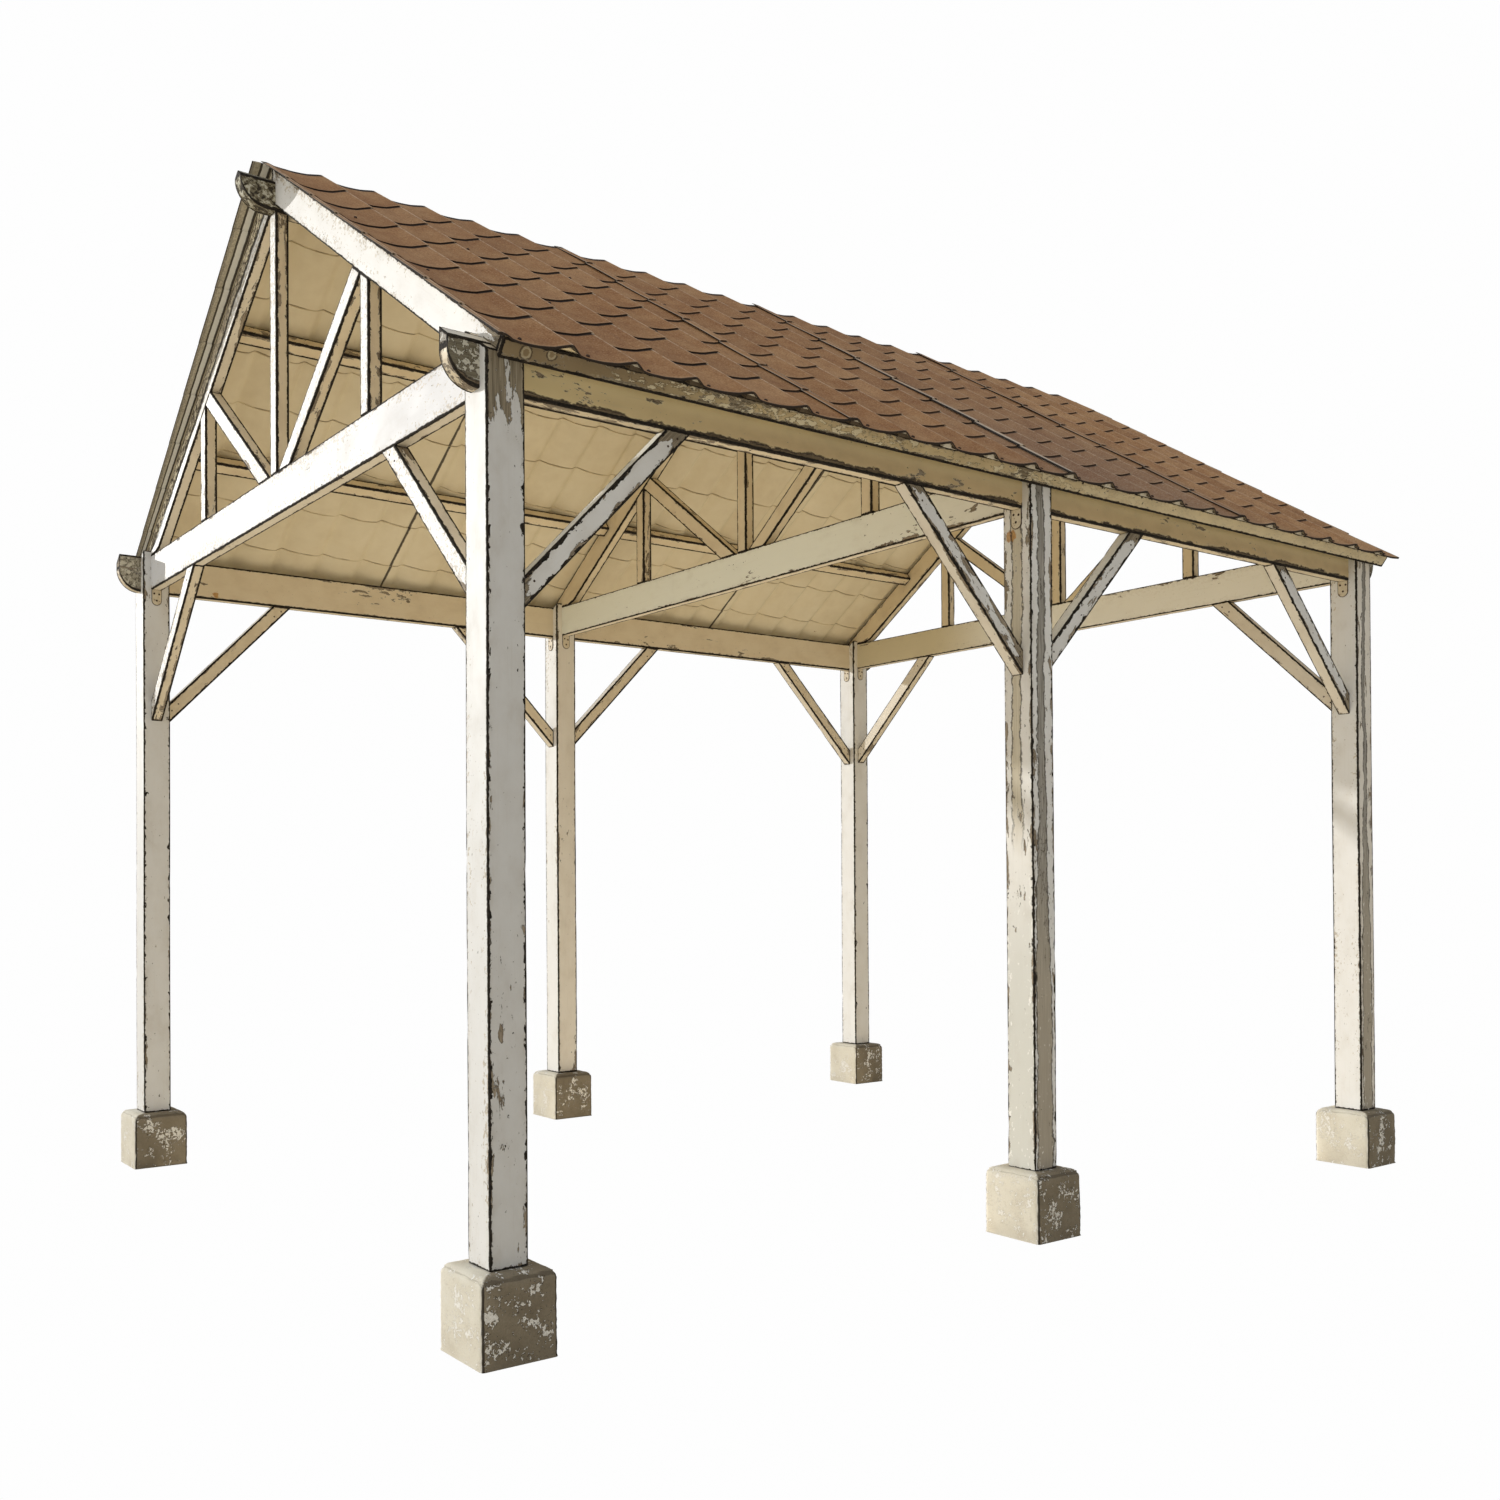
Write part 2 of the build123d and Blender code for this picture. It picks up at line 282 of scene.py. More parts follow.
# ---------------------------------------------------------------- node helpers
class Nodes:
    """Short hand for building a node tree."""

    def __init__(self, name):
        self.mat = bpy.data.materials.new(name)
        self.mat.use_nodes = True
        self.nt = self.mat.node_tree
        self.nt.nodes.clear()
        self.out = self.nt.nodes.new("ShaderNodeOutputMaterial")
        self.bsdf = self.nt.nodes.new("ShaderNodeBsdfPrincipled")
        self.nt.links.new(self.bsdf.outputs[0], self.out.inputs[0])

    def put(self, socket, v):
        if v is None:
            return
        if hasattr(v, "node"):
            self.nt.links.new(v, socket)
        elif isinstance(v, (tuple, list)):
            socket.default_value = tuple(v) + ((1.0,) if len(v) == 3 and len(socket.default_value) == 4 else ())
        else:
            socket.default_value = v

    def attr(self, name, kind="Vector"):
        n = self.nt.nodes.new("ShaderNodeAttribute")
        n.attribute_name = name
        return n.outputs[kind]

    def sep(self, v):
        n = self.nt.nodes.new("ShaderNodeSeparateXYZ")
        self.put(n.inputs[0], v)
        return n.outputs[0], n.outputs[1], n.outputs[2]

    def comb(self, x, y, z):
        n = self.nt.nodes.new("ShaderNodeCombineXYZ")
        for i, v in enumerate((x, y, z)):
            self.put(n.inputs[i], v)
        return n.outputs[0]

    def m(self, op, a, b=None, c=None, clamp=False):
        n = self.nt.nodes.new("ShaderNodeMath")
        n.operation = op
        n.use_clamp = clamp
        for i, v in enumerate((a, b, c)):
            if v is not None:
                self.put(n.inputs[i], v)
        return n.outputs[0]

    def add(self, a, b): return self.m("ADD", a, b)
    def sub(self, a, b): return self.m("SUBTRACT", a, b)
    def mul(self, a, b): return self.m("MULTIPLY", a, b)
    def mad(self, a, b, c): return self.m("MULTIPLY_ADD", a, b, c)

    def step(self, v, lo, hi, smooth=True):
        """0 below lo, 1 above hi (lo may be the larger one)."""
        n = self.nt.nodes.new("ShaderNodeMapRange")
        n.interpolation_type = "SMOOTHSTEP" if smooth else "LINEAR"
        n.clamp = True
        self.put(n.inputs[0], v)
        self.put(n.inputs[1], lo)
        self.put(n.inputs[2], hi)
        return n.outputs[0]

    def vscale(self, v, s):
        n = self.nt.nodes.new("ShaderNodeVectorMath")
        n.operation = "MULTIPLY"
        self.put(n.inputs[0], v)
        n.inputs[1].default_value = s
        return n.outputs[0]

    def vadd(self, v, s):
        n = self.nt.nodes.new("ShaderNodeVectorMath")
        n.operation = "ADD"
        self.put(n.inputs[0], v)
        self.put(n.inputs[1], s)
        return n.outputs[0]

    def noise(self, vec, scale=1.0, detail=3.0, rough=0.5, dist=0.0, lac=2.0, kind="Fac"):
        n = self.nt.nodes.new("ShaderNodeTexNoise")
        n.noise_dimensions = "3D"
        self.put(n.inputs["Vector"], vec)
        n.inputs["Scale"].default_value = scale
        n.inputs["Detail"].default_value = detail
        n.inputs["Roughness"].default_value = rough
        n.inputs["Lacunarity"].default_value = lac
        n.inputs["Distortion"].default_value = dist
        return n.outputs[kind]

    def voro(self, vec, scale=1.0, feature="F1", out="Distance", rnd=1.0):
        n = self.nt.nodes.new("ShaderNodeTexVoronoi")
        n.feature = feature
        self.put(n.inputs["Vector"], vec)
        n.inputs["Scale"].default_value = scale
        n.inputs["Randomness"].default_value = rnd
        return n.outputs[out]

    def mix(self, fac, a, b, mode="MIX"):
        n = self.nt.nodes.new("ShaderNodeMix")
        n.data_type = "RGBA"
        n.blend_type = mode
        self.put(n.inputs[0], fac)
        self.put(n.inputs[6], a)
        self.put(n.inputs[7], b)
        return n.outputs[2]

    def fmix(self, fac, a, b):
        n = self.nt.nodes.new("ShaderNodeMix")
        n.data_type = "FLOAT"
        self.put(n.inputs[0], fac)
        self.put(n.inputs[2], a)
        self.put(n.inputs[3], b)
        return n.outputs[0]

    def ramp(self, fac, stops):
        n = self.nt.nodes.new("ShaderNodeValToRGB")
        self.put(n.inputs[0], fac)
        cr = n.color_ramp
        while len(cr.elements) < len(stops):
            cr.elements.new(0.5)
        for e, (p, c) in zip(cr.elements, stops):
            e.position = p
            e.color = tuple(c) + (1.0,)
        return n.outputs[0]

    def geo(self, which):
        n = self.nt.nodes.new("ShaderNodeNewGeometry")
        return n.outputs[which]

    def obj(self):
        n = self.nt.nodes.new("ShaderNodeTexCoord")
        return n.outputs["Object"]

    def vdist(self, v, p):
        n = self.nt.nodes.new("ShaderNodeVectorMath")
        n.operation = "DISTANCE"
        self.put(n.inputs[0], v)
        n.inputs[1].default_value = p
        return n.outputs["Value"]

    def bump(self, height, strength=0.5, distance=0.001, normal=None):
        n = self.nt.nodes.new("ShaderNodeBump")
        n.inputs["Strength"].default_value = strength
        n.inputs["Distance"].default_value = distance
        self.put(n.inputs["Height"], height)
        if normal is not None:
            self.put(n.inputs["Normal"], normal)
        return n.outputs[0]


# ---------------------------------------------------------------- materials
RUST_AT = ((1.5444, -0.060, 2.519, 0.024), (-1.545, -1.937, 2.633, 0.017))
KNOT_AT = ((1.6501, -2.173, 2.710, 0.0130), (1.6564, -2.094, 2.719, 0.0100))


def timber_material():
    """Old white oil paint on softwood: a dark worn line and chips along the
    arrises, flakes stretched along the grain, tan where sheltered and as
    painted shade, with painted highlights and shadows at the flake edges."""
    g = Nodes("painted_timber_weathered")
    loc = g.attr("loc")
    dA, dB, width = g.sep(g.attr("ed"))
    e0, e1, _ = g.sep(g.attr("en"))
    wear, tint, _ = g.sep(g.attr("wt"))
    b_lo, b_hi, b_amt = g.sep(g.attr("bd"))
    d = g.m("MINIMUM", dA, dB)
    e = g.m("MINIMUM", e0, e1)
    de = g.m("MINIMUM", d, e)

    low = g.noise(g.vscale(loc, (1.3, 5.0, 5.0)), 1.0, 2.0)
    peel_n = g.noise(g.vscale(loc, (9.0, 30.0, 30.0)), 1.0, 6.0, 0.66, 0.35)
    chip_n = g.noise(g.vscale(loc, (46.0, 95.0, 95.0)), 1.0, 4.0, 0.62, 0.25)
    fine_n = g.noise(g.vscale(loc, (90.0, 260.0, 260.0)), 1.0, 3.0, 0.55)
    near = g.step(de, 0.024, 0.0)                 # 1 at an arris
    nearer = g.step(de, 0.0095, 0.0)

    # larger flaked areas; b_amt 2: also towards both ends, 3: towards the top end
    b2 = g.mul(g.step(b_amt, 1.5, 1.9, False), g.step(b_amt, 2.6, 2.4, False))
    b3 = g.mul(g.step(b_amt, 2.5, 2.9, False), g.step(b_amt, 3.6, 3.4, False))
    ends = g.mad(b2, g.step(e, b_hi, b_lo), g.mul(b3, g.step(e1, b_hi, b_lo)))
    v = g.mad(near, 0.15, peel_n)
    v = g.mad(ends, 0.29, v)
    v = g.mad(wear, 0.34, v)
    v = g.mad(g.sub(low, 0.5), 0.50, v)
    v = g.mad(g.sub(chip_n, 0.5), 0.09, v)
    v = g.mad(g.mul(g.step(tint, 1.7, 1.9, False), g.step(e0, 1.9, 2.8)), -0.13, v)
    peel = g.step(v, 0.778, 0.784, False)
    edge_p = g.step(g.m("ABSOLUTE", g.sub(v, 0.779)), 0.016, 0.005)
    # small chips, mostly by the arrises
    c = g.mad(nearer, 0.19, chip_n)
    c = g.mad(g.mul(nearer, g.step(g.sep(g.geo("Normal"))[0], 0.7, 0.9)), 0.055, c)
    c = g.mad(near, 0.085, c)
    c = g.mad(ends, 0.06, c)
    c = g.mad(wear, 0.10, c)
    c = g.mad(g.sub(low, 0.5), 0.20, c)
    chip = g.step(c, 0.735, 0.745, False)
    chip_wide = g.step(c, 0.700, 0.745)
    # the worn line itself, fine and broken
    wob = g.mad(chip_n, 0.0105, g.mad(fine_n, 0.0040, -0.0040))
    wob = g.mad(g.step(tint, 0.2, 0.7, False), 0.0018, wob)
    wob = g.mad(g.step(tint, 0.0, 0.25, False), 0.0014, wob)
    wob = g.mad(g.step(g.sep(g.geo("Normal"))[1], -0.6, -0.3), 0.0022, wob)
    pale_f = g.mul(g.step(tint, 0.12, 0.05, False), g.step(tint, -0.70, -0.60, False))
    wob = g.mad(g.mul(pale_f, g.step(g.sep(g.geo("Normal"))[1], -0.6, -0.8)), 0.0028, wob)
    line = g.step(g.sub(de, wob), 0.0006, -0.0004, False)
    # scalloped bites along the arrises of the faces open to the weather
    bite = g.noise(g.vscale(loc, (26.0, 48.0, 48.0)), 1.0, 3.0, 0.6, 0.5)
    bite = g.mad(g.step(d, 0.021, 0.001), g.mad(g.step(wear, 0.40, 0.48), 0.10, 0.20), bite)
    bite = g.mul(g.step(bite, 0.718, 0.728), g.mul(g.step(g.sep(g.geo("Normal"))[0], 0.7, 0.9), g.step(tint, 0.3, 0.2, False)))
    line = g.m("MAXIMUM", line, bite)

    # a band worn along the face; the bare ones widen towards the ground and the
    # tan ones fade out there
    foot = g.step(g.mad(low, 0.8, e0), 2.0, 0.9)
    f = g.m("DIVIDE", dA, g.m("MAXIMUM", g.add(dA, dB), 0.001))
    n1 = g.sub(g.noise(g.vscale(loc, (2.0, 3.0, 3.0)), 1.0, 2.0), 0.5)
    n2 = g.sub(g.noise(g.vscale(loc, (13.0, 9.0, 9.0)), 1.0, 4.0, 0.6), 0.5)
    fw = g.mad(n1, 0.34, g.mad(n2, 0.30, g.mad(g.sub(chip_n, 0.5), 0.16, f)))
    has = g.mul(g.step(g.m("ABSOLUTE", b_amt), 0.01, 0.02, False), g.step(b_amt, 1.5, 1.4, False))
    grow = g.mul(g.mul(foot, 0.20), g.step(b_amt, 0.8, 0.95, False))
    lo_f = g.add(g.sub(fw, b_lo), grow)
    hi_f = g.sub(g.sub(fw, b_hi), grow)
    inside = g.mul(g.step(lo_f, -0.006, 0.006), g.step(hi_f, 0.006, -0.006))
    lower = g.step(g.mad(low, 0.5, e0), 1.62, 1.38)
    stay = g.sub(1.0, g.mul(lower, g.step(b_amt, -0.6, -0.8)))
    inside = g.mul(g.mul(inside, has), stay)
    rim_b = g.m("MINIMUM", g.m("ABSOLUTE", lo_f), g.m("ABSOLUTE", hi_f))
    rim_b = g.mul(g.mul(g.step(rim_b, 0.038, 0.014), has), stay)
    patchy = g.mul(g.step(b_amt, -0.49, -0.47, False), g.step(b_amt, -0.41, -0.43))
    rim_raw = g.m("MINIMUM", g.m("ABSOLUTE", lo_f), g.m("ABSOLUTE", hi_f))
    heavy_rim = g.mul(patchy, g.step(rim_raw, 0.105, 0.065))
    band_bare = g.mul(inside, g.step(b_amt, 0.0, 0.3))
    band_tan = g.mul(inside, g.step(b_amt, 0.0, -0.3))

    bare = g.m("MAXIMUM", g.m("MAXIMUM", peel, chip), g.m("MAXIMUM", line, band_bare))

    # bare wood: grey brown grain with dark cracks
    grain = g.noise(g.vscale(loc, (7.0, 300.0, 300.0)), 1.0, 4.0, 0.6)
    wood = g.ramp(grain, [(0.28, (0.085, 0.066, 0.048)), (0.44, (0.250, 0.202, 0.148)),
                          (0.58, (0.380, 0.318, 0.238)), (0.75, (0.500, 0.435, 0.340))])
    grey = g.ramp(grain, [(0.30, (0.110, 0.100, 0.090)), (0.46, (0.300, 0.285, 0.255)),
                          (0.60, (0.450, 0.430, 0.390)), (0.75, (0.590, 0.570, 0.530))])
    grey = g.mix(g.mul(foot, 0.75), grey, (0.520, 0.460, 0.360))
    brown = g.ramp(grain, [(0.30, (0.070, 0.050, 0.030)), (0.46, (0.150, 0.112, 0.068)),
                           (0.60, (0.215, 0.165, 0.105)), (0.75, (0.340, 0.280, 0.190))])
    umber = g.ramp(grain, [(0.30, (0.095, 0.078, 0.053)), (0.46, (0.235, 0.198, 0.140)),
                           (0.60, (0.335, 0.288, 0.210)), (0.75, (0.470, 0.415, 0.310))])
    wood = g.mix(g.m("MAXIMUM", ends, g.mul(g.step(tint, 1.55, 1.7, False), 0.85)), wood, umber)
    wood = g.mix(band_bare, wood, g.mix(g.step(b_amt, 0.70, 0.80, False), brown, grey))
    dark = g.mix(g.step(fine_n, 0.40, 0.78), (0.010, 0.008, 0.006), (0.055, 0.043, 0.031))
    small = g.m("MAXIMUM", g.mul(chip, g.sub(1.0, peel)), line, clamp=True)
    wood = g.mix(small, wood, dark)

    # paint: off white, grey where rained on, tan where sheltered; the tan on inner faces is partly painted shade
    brush = g.noise(g.vscale(loc, (5.0, 160.0, 160.0)), 1.0, 3.0, 0.5)
    mott = g.noise(g.vscale(loc, (9.0, 14.0, 14.0)), 1.0, 4.0, 0.6)
    paint = g.mix(g.step(mott, 0.35, 0.70), (0.885, 0.886, 0.874), (0.852, 0.846, 0.822))
    cream = g.mix(g.step(mott, 0.30, 0.72), (0.820, 0.690, 0.460), (0.760, 0.620, 0.395))
    washed = g.mix(g.step(mott, 0.30, 0.72), (0.715, 0.720, 0.715), (0.660, 0.655, 0.640))
    nz = g.sep(g.geo("Normal"))[2]
    # painted shade: faces turned downwards go tan as if in shade
    under = g.mul(g.step(nz, -0.35, -0.9), 0.55)
    shelter_and_shade = g.m("MAXIMUM", tint, under, clamp=True)
    paint = g.mix(g.step(tint, 0.0, -1.0, False), paint, washed)
    paint = g.mix(shelter_and_shade, paint, cream)
    paint = g.mix(g.mul(g.step(tint, 1.0, 1.5, False), 1.0), paint,
                  g.mix(g.step(mott, 0.30, 0.70), (0.74, 0.570, 0.320), (0.65, 0.495, 0.270)))
    posx = g.sep(g.geo("Position"))[0]
    # painted shade and light on the back ties: the rear tie tan towards its left end where shade falls and white where
    # lit, the middle tie paler where light reaches it
    rear_t = g.mul(g.step(tint, 0.085, 0.095, False), g.step(tint, 0.115, 0.105))
    mid_t = g.mul(g.step(tint, 0.265, 0.275, False), g.step(tint, 0.295, 0.285))
    paint = g.mix(rear_t, paint, g.mix(g.step(posx, -0.9, -0.3), (0.710, 0.635, 0.445), (0.985, 0.985, 0.930)))
    paint = g.mix(g.mul(mid_t, g.step(posx, 2.4, 0.3)), paint, (0.960, 0.985, 0.900))
    front_t = g.mul(g.step(tint, -0.455, -0.445), g.step(tint, -0.425, -0.435))
    paint = g.mix(g.mul(front_t, g.mad(g.step(posx, 0.7, 1.15), 0.30, 0.50)), paint, (0.640, 0.640, 0.660))
    # the plate is paler near its front end and up its outer face, painted light; the fascia browner
    plate = g.mul(g.step(tint, 1.2, 1.4, False), g.step(tint, 1.7, 1.6, False))
    paint = g.mix(g.mul(plate, g.step(g.mad(low, 0.9, e0), 1.75, 0.75)), paint, (0.84, 0.690, 0.375))
    upward = g.fmix(g.step(b_lo, 0.0, 0.5, False), f, g.sub(1.0, f))
    paint = g.mix(g.mul(plate, g.mul(g.step(upward, 0.30, 0.80), 0.85)), paint, (0.99, 0.860, 0.550))
    board = g.step(tint, 1.7, 1.9, False)
    paint = g.mix(board, paint, g.mix(g.step(mott, 0.30, 0.70), (0.66, 0.545, 0.335), (0.55, 0.445, 0.260)))
    paint = g.mix(g.mul(board, g.mul(g.step(g.mad(low, 0.8, e0), 1.50, 0.65), 0.75)), paint, (0.185, 0.130, 0.078))
    # tan along a worn band: bare undercoat; on the left front rafter also painted shade under the verge
    paint = g.mix(band_tan, paint, g.mix(g.step(grain, 0.35, 0.65), (0.60, 0.535, 0.405), (0.70, 0.640, 0.510)))
    ptn = g.noise(g.vscale(loc, (38.0, 70.0, 70.0)), 1.0, 4.0, 0.62, 0.4)
    patch_c = g.mix(g.step(ptn, 0.45, 0.49), (0.92, 0.84, 0.63), (0.40, 0.335, 0.225))
    patch_c = g.mix(g.step(ptn, 0.525, 0.540), patch_c, (0.040, 0.032, 0.022))
    paint = g.mix(g.mul(band_tan, patchy), paint, patch_c)
    # greyer film near the ground on that face, with pale remains
    beige = g.mul(g.mul(g.step(g.mad(low, 0.5, e0), 1.62, 0.70), g.step(b_amt, -0.6, -0.8, False)), 0.92)
    paint = g.mix(beige, paint, (0.655, 0.655, 0.600))
    bits = g.mad(g.step(d, 0.045, 0.0), 0.10, g.noise(g.vscale(loc, (34.0, 80.0, 80.0)), 1.0, 4.0, 0.6, 0.3))
    paint = g.mix(g.mul(g.step(bits, 0.665, 0.680), g.step(beige, 0.1, 0.4)), paint, (0.900, 0.890, 0.850))
    pale_b = g.mul(g.mul(g.step(bits, 0.655, 0.668), band_bare), g.mul(foot, g.step(b_amt, 0.7, 0.8, False)))
    wood = g.mix(pale_b, wood, (0.860, 0.840, 0.790))
    # fascia: pale flakes of the last coat away from the front end
    coat = g.mad(g.sub(low, 0.5), 0.35, g.noise(g.vscale(loc, (26.0, 62.0, 62.0)), 1.0, 5.0, 0.66, 0.4))
    on_b = g.mul(board, g.mul(g.step(g.mad(low, 0.3, e0), 0.40, 0.55), g.mad(g.step(e0, 1.9, 2.8), -0.75, 1.0)))
    paint = g.mix(g.mul(board, g.mul(g.step(e0, 1.7, 3.2), 0.65)), paint, (0.84, 0.745, 0.530))
    paint = g.mix(g.mul(g.sub(g.step(coat, 0.475, 0.515), g.step(coat, 0.530, 0.545)), g.mul(on_b, 0.70)), paint, (0.085, 0.062, 0.038))
    paint = g.mix(g.mul(g.step(coat, 0.530, 0.545), g.mul(on_b, 0.80)), paint, (0.800, 0.740, 0.560))
    # rounded plate ends: dark bare wood under scattered flakes
    nose = g.mul(plate, g.step(e, 0.166, 0.158))
    nb = g.noise(g.vscale(loc, (52.0, 60.0, 60.0)), 1.0, 4.0, 0.6, 0.4)
    nb = g.mad(g.step(e, 0.02, 0.14), 0.10, nb)
    nfl = g.step(nb, 0.585, 0.600)
    nose_c = g.mix(g.step(grain, 0.35, 0.65), (0.150, 0.130, 0.088), (0.230, 0.205, 0.145))
    nose_c = g.mix(g.sub(g.step(nb, 0.545, 0.580), nfl), nose_c, (0.050, 0.040, 0.027))
    nose_c = g.mix(nfl, nose_c, (0.640, 0.620, 0.530))
    paint = g.mix(nose, paint, nose_c)
    nose_i = g.mul(g.mul(g.step(tint, 0.772, 0.776, False), g.step(tint, 0.788, 0.784)), g.step(e, 0.166, 0.158))
    nose_d = g.mix(g.step(nb, 0.47, 0.50), (0.640, 0.600, 0.480), (0.420, 0.380, 0.285))
    nose_d = g.mix(g.sub(g.step(nb, 0.560, 0.580), g.step(nb, 0.610, 0.625)), nose_d, (0.060, 0.050, 0.036))
    paint = g.mix(nose_i, paint, nose_d)
    paint = g.mix(g.mul(g.step(brush, 0.55, 0.8), 0.10), paint, (0.50, 0.45, 0.37))
    # rust bleeding from two old nails, knots showing through the fascia
    for cx, cy, cz, r in RUST_AT:
        dd = g.vdist(g.geo("Position"), (cx, cy, cz))
        m = g.step(g.mad(g.sub(chip_n, 0.5), 0.035, dd), r, r - 0.005)
        paint = g.mix(g.mul(m, 0.85), paint, g.mix(g.step(fine_n, 0.35, 0.6), (0.62, 0.335, 0.090), (0.420, 0.190, 0.040)))
    for cx, cy, cz, r in KNOT_AT:
        dd = g.mad(g.sub(chip_n, 0.5), 0.012, g.vdist(g.geo("Position"), (cx, cy, cz)))
        torn = g.mul(g.step(fine_n, 0.30, 0.46), board)
        m = g.mul(g.step(g.m("ABSOLUTE", g.sub(dd, r)), 0.0042, 0.0022), torn)
        paint = g.mix(g.mul(m, 0.62), paint, (0.62, 0.56, 0.41))
        m = g.mul(g.step(g.m("ABSOLUTE", g.sub(dd, r + 0.0060)), 0.0035, 0.0015), torn)
        paint = g.mix(g.mul(m, 0.75), paint, (0.055, 0.042, 0.028))
    dirt = g.mul(g.step(g.mad(near, 0.22, mott), 0.52, 0.95), 0.26)
    paint = g.mix(dirt, paint, (0.42, 0.36, 0.28))
    # thin rubbed spots on the white faces, thickest under the verge and arrises
    white = g.mul(g.step(tint, 0.12, 0.0, False), g.step(tint, -0.60, -0.45, False))
    white = g.mul(white, g.step(g.sep(g.geo("Normal"))[1], -0.5, -0.7))
    near2 = g.step(de, 0.060, 0.006)
    q = g.mad(near2, 0.115, g.noise(g.vscale(loc, (60.0, 78.0, 78.0)), 1.0, 5.0, 0.68, 0.2))
    q = g.mad(g.sub(low, 0.5), 0.52, g.mad(wear, 1.10, q))
    q = g.mad(g.sub(peel_n, 0.5), 0.16, q)
    spot = g.mul(g.step(q, 0.765, 0.792), white)
    paint = g.mix(g.mul(spot, 0.72), paint, g.mix(g.step(fine_n, 0.40, 0.62), (0.60, 0.510, 0.37), (0.33, 0.29, 0.235)))
    # fly specks and pin holes
    speck = g.step(g.voro(g.vscale(loc, (60.0, 90.0, 90.0)), 1.0), 0.11, 0.05)
    sparse = g.step(g.noise(g.vscale(loc, (4.0, 9.0, 9.0)), 1.0, 2.0), 0.54, 0.62)
    paint = g.mix(g.mul(g.mul(speck, sparse), 0.75), paint, (0.10, 0.08, 0.06))
    # painted highlight: pale lips outside the flakes, where the curled paint catches the light
    lip = g.sub(g.m("MAXIMUM", g.step(v, 0.740, 0.775), chip_wide), bare)
    col = g.mix(g.mul(g.m("MAXIMUM", lip, 0.0), 0.30), paint, (0.90, 0.88, 0.83))
    col = g.mix(bare, col, wood)
    # painted shadow: a dark line round every flake and band, under its lifted edge
    under_line = g.mul(g.m("MAXIMUM", g.mul(edge_p, g.step(wear, 0.02, 0.12)), rim_b), g.step(chip_n, 0.30, 0.44))
    col = g.mix(g.mul(under_line, 0.80), col, (0.040, 0.032, 0.025))
    col = g.mix(g.mul(heavy_rim, 0.92), col, (0.030, 0.024, 0.018))
    # the ridge's own nose: flaked all over
    ridge_m = g.mul(g.step(tint, 0.612, 0.616, False), g.step(tint, 0.628, 0.624))
    rn = g.noise(g.vscale(loc, (42.0, 56.0, 56.0)), 1.0, 5.0, 0.66, 0.6)
    ridge_c = g.mix(g.step(rn, 0.44, 0.47), (0.045, 0.036, 0.024), (0.215, 0.188, 0.126))
    ridge_c = g.mix(g.step(rn, 0.545, 0.560), ridge_c, (0.600, 0.580, 0.480))
    col = g.mix(g.mul(g.mul(ridge_m, g.sub(1.0, line)), g.step(e, 0.30, 0.24)), col, ridge_c)
    g.put(g.bsdf.inputs["Base Color"], col)
    rough = g.fmix(bare, g.mad(mott, 0.16, 0.46), 0.88)
    g.put(g.bsdf.inputs["Roughness"], rough)
    g.bsdf.inputs["Specular IOR Level"].default_value = 0.30

    # relief: paint film over the wood, brush marks, grain
    h = g.mul(g.sub(1.0, bare), 1.0)
    h = g.mad(g.m("MAXIMUM", lip, 0.0), 0.35, h)
    h = g.mad(brush, 0.10, h)
    h = g.mad(g.mul(bare, grain), 0.55, h)
    h = g.mad(fine_n, 0.06, h)
    g.put(g.bsdf.inputs["Normal"], g.bump(h, 0.75, 0.0011))
    return g.mat


